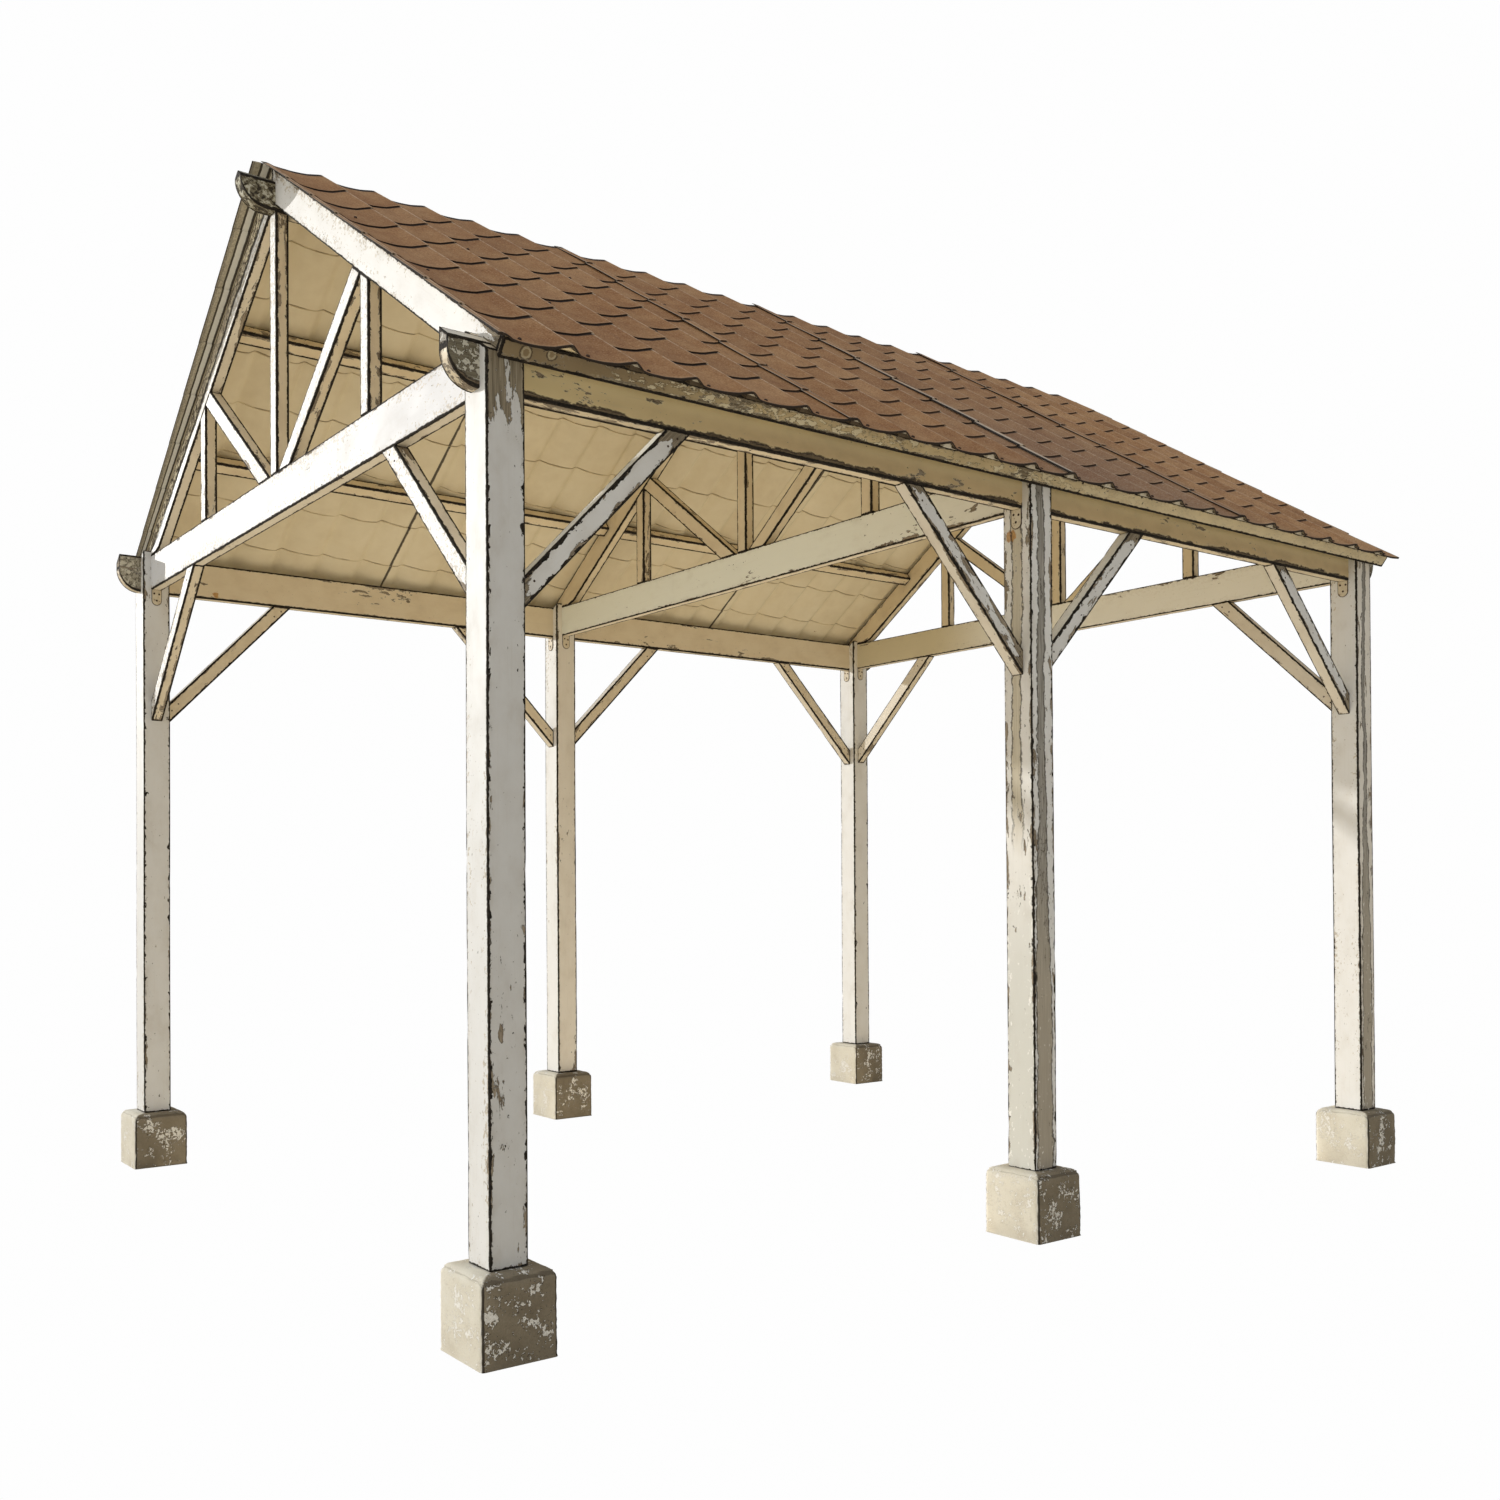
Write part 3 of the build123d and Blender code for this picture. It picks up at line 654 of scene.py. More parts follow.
def concrete_material():
    """Cast concrete footings with the last of a white wash, paler on the lit faces and browner on the shaded ones as
    painted light and shade.
    """
    g = Nodes("footing_concrete_flaked")
    P = g.obj()
    big = g.noise(P, 9.0, 4.0, 0.55)
    mid = g.noise(P, 38.0, 6.0, 0.62, 0.6)
    fine = g.noise(P, 210.0, 4.0, 0.6)
    grit = g.voro(P, 330.0)
    # pale on the front faces and the front half of the top, brown elsewhere: remains of the wash, and painted light and
    # shade; the top's brown half is the post's painted shadow
    face = g.mad(g.sub(fine, 0.5), 0.25, g.m("MULTIPLY", g.sep(g.geo("Normal"))[1], -1.0))
    lx, ly, lz = g.sep(g.attr("lp"))
    nzc = g.step(g.sep(g.geo("Normal"))[2], 0.55, 0.75)
    shoulder = g.mul(nzc, g.step(g.mad(g.sub(fine, 0.5), 0.02, g.add(lx, ly)), 0.004, -0.006))
    front = g.m("MAXIMUM", g.mul(g.step(face, 0.45, 0.62), g.sub(1.0, nzc)), shoulder)
    tone = g.mad(fine, 0.35, g.mul(big, 0.65))
    brown = g.ramp(tone, [
        (0.30, (0.190, 0.158, 0.112)), (0.50, (0.260, 0.222, 0.160)), (0.72, (0.355, 0.310, 0.232))])
    pale = g.ramp(tone, [
        (0.30, (0.640, 0.590, 0.485)), (0.50, (0.750, 0.715, 0.610)), (0.72, (0.815, 0.790, 0.700))])
    base = g.mix(front, brown, pale)
    base = g.mix(g.mul(g.step(grit, 0.35, 0.1), 0.20), base, (0.20, 0.16, 0.12))
    _, _, z = g.sep(P)
    stain = g.mul(g.step(g.mad(big, 0.12, z), 0.14, 0.03), 0.16)
    base = g.mix(stain, base, (0.20, 0.165, 0.12))
    # remains of the wash: clusters of small curled flakes with a dark edge
    clus = g.noise(P, 17.0, 2.0, 0.5, 0.2)
    bits = g.noise(P, 78.0, 3.0, 0.60, 0.6)
    centre = g.mul(g.step(g.m("ABSOLUTE", g.sub(lz, 0.12)), 0.12, 0.03), g.step(g.m("MINIMUM", g.m("ABSOLUTE", lx), g.m("ABSOLUTE", ly)), 0.115, 0.05))
    v = g.mad(g.sub(clus, 0.5), 0.85, g.mad(centre, 0.06, bits))
    v = g.mad(g.sub(g.noise(P, 190.0, 2.0, 0.5), 0.5), 0.26, v)
    flake = g.step(v, 0.652, 0.664, False)
    ring = g.sub(g.step(v, 0.592, 0.640), flake)
    base = g.mix(g.mul(ring, g.mad(front, -0.45, 0.85)), base, g.mix(front, (0.045, 0.034, 0.024), (0.47, 0.42, 0.32)))
    wash = g.mix(g.step(fine, 0.35, 0.65), (0.74, 0.715, 0.65), (0.93, 0.92, 0.88))
    col = g.mix(flake, base, wash)
    # vertical corners: a dark line on the side, a pale one on the front
    cor = g.m("MINIMUM", g.m("ABSOLUTE", lx), g.m("ABSOLUTE", ly))
    cor = g.mul(g.step(g.mad(g.sub(mid, 0.5), 0.003, cor), 0.1090, 0.1105), g.step(lz, 0.236, 0.222))
    nx = g.m("ABSOLUTE", g.sep(g.geo("Normal"))[0])
    col = g.mix(g.mul(g.mul(cor, g.step(nx, 0.50, 0.62)), 0.92), col, (0.030, 0.023, 0.017))
    col = g.mix(g.mul(g.mul(cor, g.step(nx, 0.50, 0.38)), 0.75), col, (0.92, 0.91, 0.87))
    # dark line along the rounded shoulder on the brown sides
    nzs = g.sep(g.geo("Normal"))[2]
    sh = g.mul(g.step(g.m("ABSOLUTE", g.sub(nzs, 0.62)), 0.20, 0.10), g.step(g.sep(g.geo("Normal"))[0], 0.25, 0.45))
    col = g.mix(g.mul(sh, 0.45), col, (0.045, 0.035, 0.025))
    g.put(g.bsdf.inputs["Base Color"], col)
    g.put(g.bsdf.inputs["Roughness"], g.fmix(flake, 0.92, 0.7))
    g.bsdf.inputs["Specular IOR Level"].default_value = 0.25
    h = g.mad(fine, 0.35, g.mul(flake, 0.8))
    h = g.mad(g.step(grit, 0.0, 0.4), 0.18, h)
    g.put(g.bsdf.inputs["Normal"], g.bump(h, 0.8, 0.0012))
    return g.mat


def roof_top_material():
    """Brown granule-coated pressed sheet, weathered by course and wave, with painted shade and highlights at the steps,
    crests, laps and drip edge.
    """
    g = Nodes("roof_sheet_brown")
    loc = g.attr("loc")          # y, slope, lift
    u, t, seam = g.sep(g.attr("ed"))
    big = g.noise(g.vscale(loc, (1.4, 2.2, 1.0)), 1.0, 3.0)
    mid = g.noise(g.vscale(loc, (16.0, 10.0, 10.0)), 1.0, 5.0, 0.62)
    streak = g.noise(g.vscale(loc, (60.0, 5.0, 5.0)), 1.0, 3.0, 0.6)
    grain = g.noise(loc, 170.0, 4.0, 0.75)
    base = g.ramp(g.mad(mid, 0.6, g.mul(big, 0.4)), [
        (0.30, (0.270, 0.118, 0.045)), (0.45, (0.390, 0.195, 0.080)),
        (0.58, (0.480, 0.268, 0.122)), (0.75, (0.600, 0.385, 0.205))])
    # each pressed tile has its own tone
    ty = g.m("FLOOR", g.mad(g.sep(loc)[0], 1.0 / WAVE, 40.647))
    tc = g.m("FLOOR", g.mad(g.sep(loc)[1], 1.0 / COURSE, 20.9124))
    tile = g.nt.nodes.new("ShaderNodeTexWhiteNoise")
    tile.noise_dimensions = "3D"
    g.put(tile.inputs["Vector"], g.comb(ty, tc, 0.0))
    tone = tile.outputs["Value"]
    base = g.mix(g.mul(g.step(tone, 0.55, 1.0, False), 0.22), base, (0.70, 0.47, 0.27))
    base = g.mix(g.mul(g.step(tone, 0.45, 0.0, False), 0.30), base, (0.20, 0.095, 0.045))
    base = g.mix(g.mul(g.step(streak, 0.52, 0.75), 0.30), base, (0.20, 0.11, 0.07))
    base = g.mix(g.mul(g.step(grain, 0.50, 0.66), 0.50), base, (0.80, 0.56, 0.34))
    base = g.mix(g.mul(g.step(grain, 0.47, 0.32), 0.70), base, (0.105, 0.048, 0.025))
    edge_n = g.noise(g.vscale(loc, (45.0, 60.0, 30.0)), 1.0, 3.0, 0.6)
    # greyer sheets in the middle, lichen grey towards their eave
    ly, ls, _ = g.sep(loc)
    mid_y = g.step(g.m("ABSOLUTE", g.sub(g.mad(g.sub(big, 0.5), 0.8, ly), 0.55)), 0.95, 0.35)
    base = g.mix(g.mul(mid_y, g.mad(g.step(ls, 0.5, 2.0), 0.30, 0.14)), base, (0.215, 0.140, 0.105))
    base = g.mix(g.mul(g.mul(mid_y, g.step(ls, 0.9, 1.9)), g.mul(g.step(grain, 0.52, 0.62), 0.40)), base, (0.50, 0.44, 0.38))
    base = g.mix(g.mad(g.step(ly, 1.2, -1.2), 0.13, 0.05), base, (0.250, 0.075, 0.0))
    # painted shadow with dirt below each step, strongest on the long flank of the wave
    flank = g.mul(g.step(t, 0.12, 0.42), g.step(t, 1.02, 0.975))
    fore = g.step(ly, -0.9, -1.7)
    below = g.step(g.mad(edge_n, -0.030, u), g.mad(fore, 0.009, g.mad(flank, 0.022, 0.014)), 0.0)
    base = g.mix(g.mul(below, g.mad(flank, 0.48, g.mad(fore, 0.30, 0.42)), ), base, (0.022, 0.013, 0.009))
    # pale lip at the lower edge of a course: wear, and a painted highlight
    lip = g.step(g.mad(g.sub(edge_n, 0.5), 0.05, u), 0.965, 0.985)
    base = g.mix(g.mul(lip, 0.28), base, (0.66, 0.48, 0.33))
    # painted shade on the riser of each step
    riser = g.step(u, 1.012, 1.03)
    base = g.mix(g.mul(riser, g.mad(flank, 0.30, 0.62)), base, (0.022, 0.013, 0.009))
    # painted shadow and painted highlight where one sheet laps the next: a dark line under the lapped edge, a pale one
    # on it
    heavy = g.mul(g.step(g.m("ABSOLUTE", g.sub(ly, 0.035)), 0.10, 0.08, False), g.step(g.mad(g.sub(edge_n, 0.5), 0.6, ls), 0.1, 1.9))
    wide = g.mad(heavy, 0.0120, 0.0026)
    seam_d = g.step(g.sub(seam, wide), 0.0004, -0.0006, False)
    pale_s = g.step(g.sub(seam, g.mul(wide, 1.9)), 0.0060, -0.0010, False)
    base = g.mix(g.mul(pale_s, g.mad(heavy, 0.35, 0.45)), base, (0.76, 0.67, 0.55))
    base = g.mix(seam_d, base, (0.030, 0.021, 0.016))
    # painted shade along the rolled drip edge at the eave
    drip = g.step(g.mad(g.sub(edge_n, 0.5), 0.002, g.sep(loc)[1]), SHEET_LEN - 0.0062, SHEET_LEN - 0.0030)
    # painted shade on the lee of each crest, painted highlight along the crest line
    lee = g.mul(g.step(t, 0.0, 0.05), g.step(t, 0.30, 0.12))
    base = g.mix(g.mul(lee, 0.26), base, (0.14, 0.070, 0.038))
    crest = g.m("MAXIMUM", g.step(t, 0.022, 0.0), g.step(t, 0.955, 0.985))
    base = g.mix(g.mul(g.mul(crest, g.step(edge_n, 0.36, 0.52)), 0.55), base, (0.92, 0.72, 0.52))
    base = g.mix(g.mul(drip, 0.94), base, (0.022, 0.015, 0.011))
    g.put(g.bsdf.inputs["Base Color"], base)
    g.put(g.bsdf.inputs["Roughness"], g.mad(grain, 0.25, 0.62))
    g.bsdf.inputs["Specular IOR Level"].default_value = 0.3
    h = g.mad(grain, 0.5, g.mul(mid, 0.8))
    g.put(g.bsdf.inputs["Normal"], g.bump(h, 0.55, 0.0014))
    return g.mat


def roof_under_material():
    """The sheets' painted underside."""
    g = Nodes("roof_sheet_underside")
    loc = g.attr("loc")
    u, t, seam = g.sep(g.attr("ed"))
    big = g.noise(g.vscale(loc, (2.2, 1.6, 1.0)), 1.0, 4.0, 0.55)
    mid = g.noise(g.vscale(loc, (14.0, 14.0, 10.0)), 1.0, 5.0, 0.6)
    fine = g.noise(loc, 160.0, 3.0, 0.6)
    base = g.ramp(g.mad(mid, 0.35, g.mul(big, 0.65)), [
        (0.30, (0.700, 0.600, 0.420)), (0.48, (0.780, 0.690, 0.500)), (0.70, (0.850, 0.770, 0.590))])
    edge_n = g.noise(g.vscale(loc, (9.0, 30.0, 10.0)), 1.0, 4.0, 0.6)
    crease = g.step(g.m("ABSOLUTE", g.sub(g.mad(g.sub(edge_n, 0.5), 0.03, u), 0.992)), 0.017, 0.006)
    base = g.mix(g.mul(crease, g.mul(g.step(edge_n, 0.38, 0.56), 0.80)), base, (0.17, 0.12, 0.07))
    rust_n = g.noise(g.vscale(loc, (13.0, 13.0, 10.0)), 1.0, 4.0, 0.55)
    rust = g.step(rust_n, 0.735, 0.76)
    base = g.mix(g.mul(rust, 0.75), base, (0.30, 0.135, 0.05))
    seamd = g.step(g.mad(g.sub(edge_n, 0.5), 0.012, seam), 0.0155, 0.0105)
    base = g.mix(g.mul(seamd, 0.93), base, (0.045, 0.034, 0.024))
    y = g.sep(loc)[0]
    y = g.mad(g.step(y, 4.9, 5.0, False), -9.0, y)
    # painted shade: the sheet's underside beyond the front rafter is mixed darker brown below
    outside = g.step(y, -2.246, -2.254)
    left = g.step(g.sep(loc)[0], 4.9, 5.0, False)
    frac = g.m("DIVIDE", g.sub(-2.251, y), g.mad(g.sep(loc)[1], -0.0178, 0.075))
    frac = g.mad(g.sub(edge_n, 0.5), 0.07, frac)
    strip = g.m("MAXIMUM", g.step(g.m("ABSOLUTE", g.sub(frac, 0.03)), 0.085, 0.055), g.step(g.m("ABSOLUTE", g.sub(frac, 0.47)), 0.070, 0.045))
    strip = g.m("MAXIMUM", strip, g.step(frac, 0.93, 0.96))
    slat = g.mul(left, g.step(g.m("ABSOLUTE", g.sub(frac, 0.25)), 0.17, 0.15))
    joint = g.mul(left, strip)
    base = g.mix(g.mul(outside, 0.72), base, g.mix(g.step(fine, 0.4, 0.62), (0.68, 0.64, 0.53), (0.39, 0.35, 0.280)))
    base = g.mix(g.mul(slat, 0.92), base, (0.985, 0.975, 0.920))
    base = g.mix(g.mul(g.step(g.sep(loc)[1], 2.028, 2.040), 0.92), base, (0.105, 0.082, 0.055))
    base = g.mix(g.mul(joint, 0.90), base, (0.030, 0.023, 0.016))
    g.put(g.bsdf.inputs["Base Color"], base)
    g.put(g.bsdf.inputs["Roughness"], g.mad(mid, 0.2, 0.55))
    g.bsdf.inputs["Specular IOR Level"].default_value = 0.3
    g.put(g.bsdf.inputs["Normal"], g.bump(g.mad(fine, 0.3, mid), 0.35, 0.001))
    return g.mat


def fascia_material():
    return timber_material()


def steel_material():
    """Painted steel plates, chipped to rust at the rim."""
    g = Nodes("bracket_painted_steel")
    P = g.obj()
    n1 = g.noise(P, 70.0, 5.0, 0.6)
    n2 = g.noise(P, 300.0, 3.0, 0.6)
    base = g.mix(g.step(n1, 0.4, 0.7), (0.74, 0.66, 0.50), (0.64, 0.54, 0.38))
    chip = g.step(n1, 0.63, 0.65)
    base = g.mix(chip, base, (0.12, 0.065, 0.035))
    base = g.mix(g.mul(g.step(n2, 0.55, 0.75), 0.35), base, (0.30, 0.20, 0.12))
    g.put(g.bsdf.inputs["Base Color"], base)
    g.put(g.bsdf.inputs["Roughness"], g.mad(n1, 0.3, 0.4))
    g.bsdf.inputs["Metallic"].default_value = 0.0
    g.put(g.bsdf.inputs["Normal"], g.bump(g.sub(n2, g.mul(chip, 0.8)), 0.4, 0.0006))
    return g.mat


def screw_material():
    g = Nodes("screw_dark_steel")
    P = g.obj()
    n1 = g.noise(P, 500.0, 3.0, 0.6)
    base = g.mix(g.step(n1, 0.4, 0.65), (0.030, 0.022, 0.017), (0.12, 0.065, 0.038))
    g.put(g.bsdf.inputs["Base Color"], base)
    g.put(g.bsdf.inputs["Roughness"], g.mad(n1, 0.4, 0.4))
    g.bsdf.inputs["Metallic"].default_value = 0.4
    g.put(g.bsdf.inputs["Normal"], g.bump(n1, 0.4, 0.0004))
    return g.mat


def filler_material():
    """Moulded foam closers under the waves."""
    g = Nodes("eave_closer_foam")
    P = g.obj()
    n1 = g.noise(P, 60.0, 4.0, 0.6)
    n2 = g.voro(P, 380.0)
    base = g.mix(g.step(n1, 0.35, 0.7), (0.84, 0.81, 0.73), (0.66, 0.60, 0.48))
    base = g.mix(g.mul(g.step(n2, 0.3, 0.1), 0.4), base, (0.42, 0.36, 0.27))
    # painted shade: dark low down and on the shallow closers, where they sit deep under the wave
    up, _, _ = g.sep(g.attr("lp"))
    base = g.mix(g.step(g.mad(g.sub(n1, 0.5), 0.25, up), 0.60, 0.48), base, (0.110, 0.082, 0.052))
    g.put(g.bsdf.inputs["Base Color"], base)
    g.put(g.bsdf.inputs["Roughness"], g.mad(n1, 0.2, 0.75))
    g.put(g.bsdf.inputs["Normal"], g.bump(g.add(n1, n2), 0.5, 0.001))
    return g.mat


M_WOOD = timber_material()
M_CONC = concrete_material()
M_ROOF = roof_top_material()
M_UNDER = roof_under_material()
M_STEEL = steel_material()
M_SCREW = screw_material()
M_FILL = filler_material()

# ---------------------------------------------------------------- timbers
# Face order for a section given as (x low, z low) -> (x high, z low) -> (x high, z high)
# -> (x low, z high): faces are bottom, +x, top, -x.
seed = 11


def builder(name):
    global seed
    seed += 7
    return Builder(name, seed)


def rect(x0, x1, y0, y1, z):
    return [(x0, y0, z), (x1, y0, z), (x1, y1, z), (x0, y1, z)]


# tie beams, corners: front low, back low, back high, front high
for row, y in ROWS:
    b = builder("timber_tie_beam_" + row)
    # faces: bottom, back, top, front
    tint = {"front": [0.5, 0.6, 0.0, -0.44], "middle": [0.7, 0.8, 0.4, 0.28], "rear": [0.7, 0.6, 0.3, 0.10]}[row]
    s = [(-PLATE_IN, y - HT, TIE_Z0), (-PLATE_IN, y + HT, TIE_Z0),
         (-PLATE_IN, y + HT, TIE_Z1), (-PLATE_IN, y - HT, TIE_Z1)]
    e = [(PLATE_IN,) + p[1:] for p in s]
    straight(b, s, e, [0.30, 0.32, 0.2, 0.12], tint, 0.04)
    b.make([M_WOOD], "painted_timber", ["tie_beam_" + row])

# rafters: main part down to the tie, thin tail over the plate
for row, y in ROWS:
    for side_name, sg in SIDES:
        b = builder("timber_rafter_%s_%s" % (row, side_name))
        tail_v = TAIL_D / COS
        xs = list(stations(0.0, TAIL_X, 0.05))
        rails = []
        for x in xs:
            top = APEX - TAN * x
            xb = x if x < TAIL_X - 0.10 else x - (x - (TAIL_X - 0.10)) / 0.10 * TAIL_D * SIN
            if x <= PLATE_IN:
                low = max(UNDER - TAN * x, TIE_Z1)
            else:
                low = APEX - tail_v - TAN * xb
            rails.append([(sg * xb, y - HT, low), (sg * xb, y + HT, low),
                          (sg * x, y + HT, top), (sg * x, y - HT, top)])
        # faces: underside, back, top, front
        tint = {"front": [0.6, 0.8, 0.2, -0.32 if sg > 0 else 0.0], "middle": 0.9, "rear": 0.9}[row]
        bands = None
        if row == "front":
            # the left front rafter's upper band: peeled mottled paint, and painted shade where the verge's shadow falls
            bands = [None, None, None, (-0.6, 0.56, -0.45) if sg < 0 else (0.02, 0.13, 3.0)]
        loft(b, rails, [0.30, 0.30, 0.25, 0.16 if bands and sg < 0 else 0.105], tint, bands=bands)
        b.make([M_WOOD], "painted_timber", ["rafter_%s_%s" % (row, side_name)])

# king posts, queen studs, struts, braces
for row, y in ROWS:
    tint = {"front": [-0.1, 0.8, 0.8, 0.8], "middle": 0.85, "rear": 0.85}[row]
    b = builder("timber_king_post_" + row)
    straight(b, rect(-KING_W / 2, KING_W / 2, y - HT, y + HT, TIE_Z1),
             rect(-KING_W / 2, KING_W / 2, y - HT, y + HT, RIDGE_Z0), [0.1, 0.35, 0.3, 0.2], tint)
    b.make([M_WOOD], "painted_timber", ["king_post_" + row])

    b = builder("timber_queen_studs_" + row)
    for _, sg in SIDES:
        q0, q1 = QUEEN_X - QUEEN_W / 2, QUEEN_X + QUEEN_W / 2
        s = [(sg * q0, y - HT, TIE_Z1), (sg * q1, y - HT, TIE_Z1), (sg * q1, y + HT, TIE_Z1), (sg * q0, y + HT, TIE_Z1)]
        z0, z1 = UNDER - TAN * q0, UNDER - TAN * q1
        e = [(sg * q0, y - HT, z0), (sg * q1, y - HT, z1), (sg * q1, y + HT, z1), (sg * q0, y + HT, z0)]
        straight(b, s, e, [0.1, 0.32, 0.3, 0.25], tint)
    b.make([M_WOOD], "painted_timber", ["queen_studs_" + row])

    b = builder("timber_truss_struts_" + row)
    for _, sg in SIDES:
        f0, f1 = STRUT_FOOT
        h0, h1 = STRUT_HEAD
        s = [(sg * f0, y - HT, TIE_Z1), (sg * f1, y - HT, TIE_Z1), (sg * f1, y + HT, TIE_Z1), (sg * f0, y + HT, TIE_Z1)]
        z0, z1 = UNDER - TAN * h0, UNDER - TAN * h1
        e = [(sg * h0, y - HT, z0), (sg * h1, y - HT, z1), (sg * h1, y + HT, z1), (sg * h0, y + HT, z0)]
        straight(b, s, e, [0.12, 0.34, 0.3, 0.34], tint)
    b.make([M_WOOD], "painted_timber", ["truss_struts_" + row])

    if row == "middle":                       # no braces in the middle row
        continue
    b = builder("timber_knee_braces_" + row)
    face = HX - HP
    for _, sg in SIDES:
        s = [(sg * face, y - HT, TIE_Z0 - BRACE_OUT), (sg * face, y - HT, TIE_Z0 - BRACE_IN),
             (sg * face, y + HT, TIE_Z0 - BRACE_IN), (sg * face, y + HT, TIE_Z0 - BRACE_OUT)]
        e = [(sg * (face - BRACE_OUT), y - HT, TIE_Z0), (sg * (face - BRACE_IN), y - HT, TIE_Z0),
             (sg * (face - BRACE_IN), y + HT, TIE_Z0), (sg * (face - BRACE_OUT), y + HT, TIE_Z0)]
        # faces: front, upper, back, lower
        straight(b, s, e, [0.13, 0.30, 0.35, 0.35], {"front": [-0.15, 0.6, 0.7, 0.7], "rear": [0.45, 0.6, 0.7, 0.7]}[row])
    b.make([M_WOOD], "painted_timber", ["knee_braces_" + row])

for side_name, sg in SIDES:
    b = builder("timber_knee_braces_%s_side" % side_name)
    x0, x1 = sg * PLATE_IN, sg * PLATE_OUT
    for y, way in ((-BAY, 1.0), (0.0, -1.0), (0.0, 1.0), (BAY, -1.0)):
        f = y + way * HP
        s = [(x0, f, PLATE_Z0 - BRACE_OUT), (x0, f, PLATE_Z0 - BRACE_IN),
             (x1, f, PLATE_Z0 - BRACE_IN), (x1, f, PLATE_Z0 - BRACE_OUT)]
        e = [(x0, f + way * BRACE_OUT, PLATE_Z0), (x0, f + way * BRACE_IN, PLATE_Z0),
             (x1, f + way * BRACE_IN, PLATE_Z0), (x1, f + way * BRACE_OUT, PLATE_Z0)]
        # section runs inner low, inner high, outer high, outer low
        straight(b, s, e, [0.28, 0.25, 0.50 if sg > 0 else 0.3, 0.25],
                 [0.75, 0.1, -0.30, 0.30] if sg > 0 else [0.75, 0.3, 0.0, 0.55],
                 bands=[None, None, (0.0, 0.10, 2.0), None])
    b.make([M_WOOD], "painted_timber", ["knee_braces_%s_side" % side_name])


# plates and ridge, with rounded ends below
def nosed_rails(section_low, section_top, z0):
    """section_low: x of the low corners, section_top: (x, z) of the top corners in order."""
    ys = list(END_Y - NOSE + NOSE * np.sin(np.linspace(0, math.pi / 2, 11)))
    mid = list(stations(-(END_Y - NOSE), END_Y - NOSE, 0.05))
    ys = [-v for v in ys[::-1]] + mid[1:-1] + ys
    rails = []
    for y in ys:
        q = max(0.0, abs(y) - (END_Y - NOSE))
        zb = z0 + NOSE - math.sqrt(max(NOSE ** 2 - q ** 2, 0.0))
        rails.append([(x, y, zb) for x in section_low] + [(x, y, z) for x, z in section_top])
    return rails


for side_name, sg in SIDES:
    b = builder("timber_side_plate_" + side_name)
    top = lambda x: SEAT - TAN * x
    rails = nosed_rails([sg * PLATE_IN, sg * PLATE_OUT],
                        [(sg * PLATE_OUT, top(PLATE_OUT)), (sg * PLATE_IN, top(PLATE_IN))], PLATE_Z0)
    # faces: underside, outer, top, inner
    ends = (0.10, 0.20, 2.0)
    loft(b, rails, [0.42, 0.26, 0.3, 0.25], [0.8, 1.5, 0.3, 0.78], end_chamfer=0.003,
         bands=[None, (-0.6, 0.105, 0.5), None, None])

    b.make([M_WOOD], "painted_timber", ["side_plate_" + side_name])

b = builder("timber_ridge_beam")
hr = RIDGE_T / 2
rails = nosed_rails([-hr, hr], [(hr, SEAT - TAN * hr), (0.0, SEAT), (-hr, SEAT - TAN * hr)], RIDGE_Z0)
ends = (0.15, 0.22, 2.0)
loft(b, rails, [0.4, 0.50, 0.2, 0.2, 0.45], 0.62, end_chamfer=0.003,
     bands=[(0.04, 0.16, 2.0), ends, None, None, ends])
b.make([M_WOOD], "painted_timber", ["ridge_beam"])

# posts
for row, y in ROWS:
    for side_name, sg in SIDES:
        b = builder("timber_post_%s_%s" % (row, side_name))
        xi, xo = HX - HP, HX + HP
        zi, zo = SEAT - TAN * xi - 0.004, SEAT - TAN * xo - 0.004
        s = [(sg * xi, y - HP, FOOT_H), (sg * xo, y - HP, FOOT_H), (sg * xo, y + HP, FOOT_H), (sg * xi, y + HP, FOOT_H)]
        e = [(sg * xi, y - HP, zi), (sg * xo, y - HP, zo), (sg * xo, y + HP, zo), (sg * xi, y + HP, zi)]
        # faces: -y, outer, +y, inner
        wears = {("front", "right"): [0.03, 0.20, 0.3, 0.3], ("middle", "right"): [0.40, 0.44, 0.4, 0.4],
                 ("rear", "right"): [0.03, 0.36, 0.4, 0.3], ("front", "left"): [0.04, 0.3, 0.3, 0.10],
                 ("middle", "left"): [0.02, 0.4, 0.3, 0.12], ("rear", "left"): [0.02, 0.4, 0.3, 0.12]}[row, side_name]
        # outer and inner faces, front and back
        tint = {("front", "right"): [-0.35, -0.85, 0.3, 0.5], ("middle", "right"): [0.13, -0.10, 0.4, 0.6],
                ("rear", "right"): [0.0, 0.30, 0.3, 0.6], ("front", "left"): [-0.3, -0.3, 0.3, -0.5],
                ("middle", "left"): [-0.05, 0.0, 0.3, 0.32], ("rear", "left"): [-0.05, 0.0, 0.3, 0.15]}[row, side_name]
        bands = {("front", "right"): [None, (0.12, 0.31, 3.0), None, None],
                 ("front", "left"): [None, (0.05, 0.45, 3.0), None, None],
                 ("middle", "right"): [(0.30, 0.64, -1.0), (0.30, 0.60, 1.0), None, None],
                 ("rear", "right"): [None, (0.36, 0.56, 1.0), None, None]}.get((row, side_name))
        straight(b, s, e, wears, tint, 0.05, wander=0.0012, chamfer=0.0026, plain_ends=True, bands=bands)
        b.make([M_WOOD], "painted_timber", ["post_%s_%s" % (row, side_name)])

# purlins
for side_name, sg in SIDES:
    b = builder("timber_purlins_" + side_name)
    for px in PURLIN_X:
        a = px / COS
        pts = [(a, 0.0), (a + PURLIN_W, 0.0), (a + PURLIN_W, -PURLIN_D), (a, -PURLIN_D)]
        sec = [(sg * (p * COS + q * SIN), APEX - p * SIN + q * COS) for p, q in pts]
        for y0, y1 in ((-BAY + HT, -HT), (HT, BAY - HT)):
            straight(b, [(x, y0, z) for x, z in sec], [(x, y1, z) for x, z in sec], 0.35, 0.9)
    b.make([M_WOOD], "painted_timber", ["purlins_" + side_name])

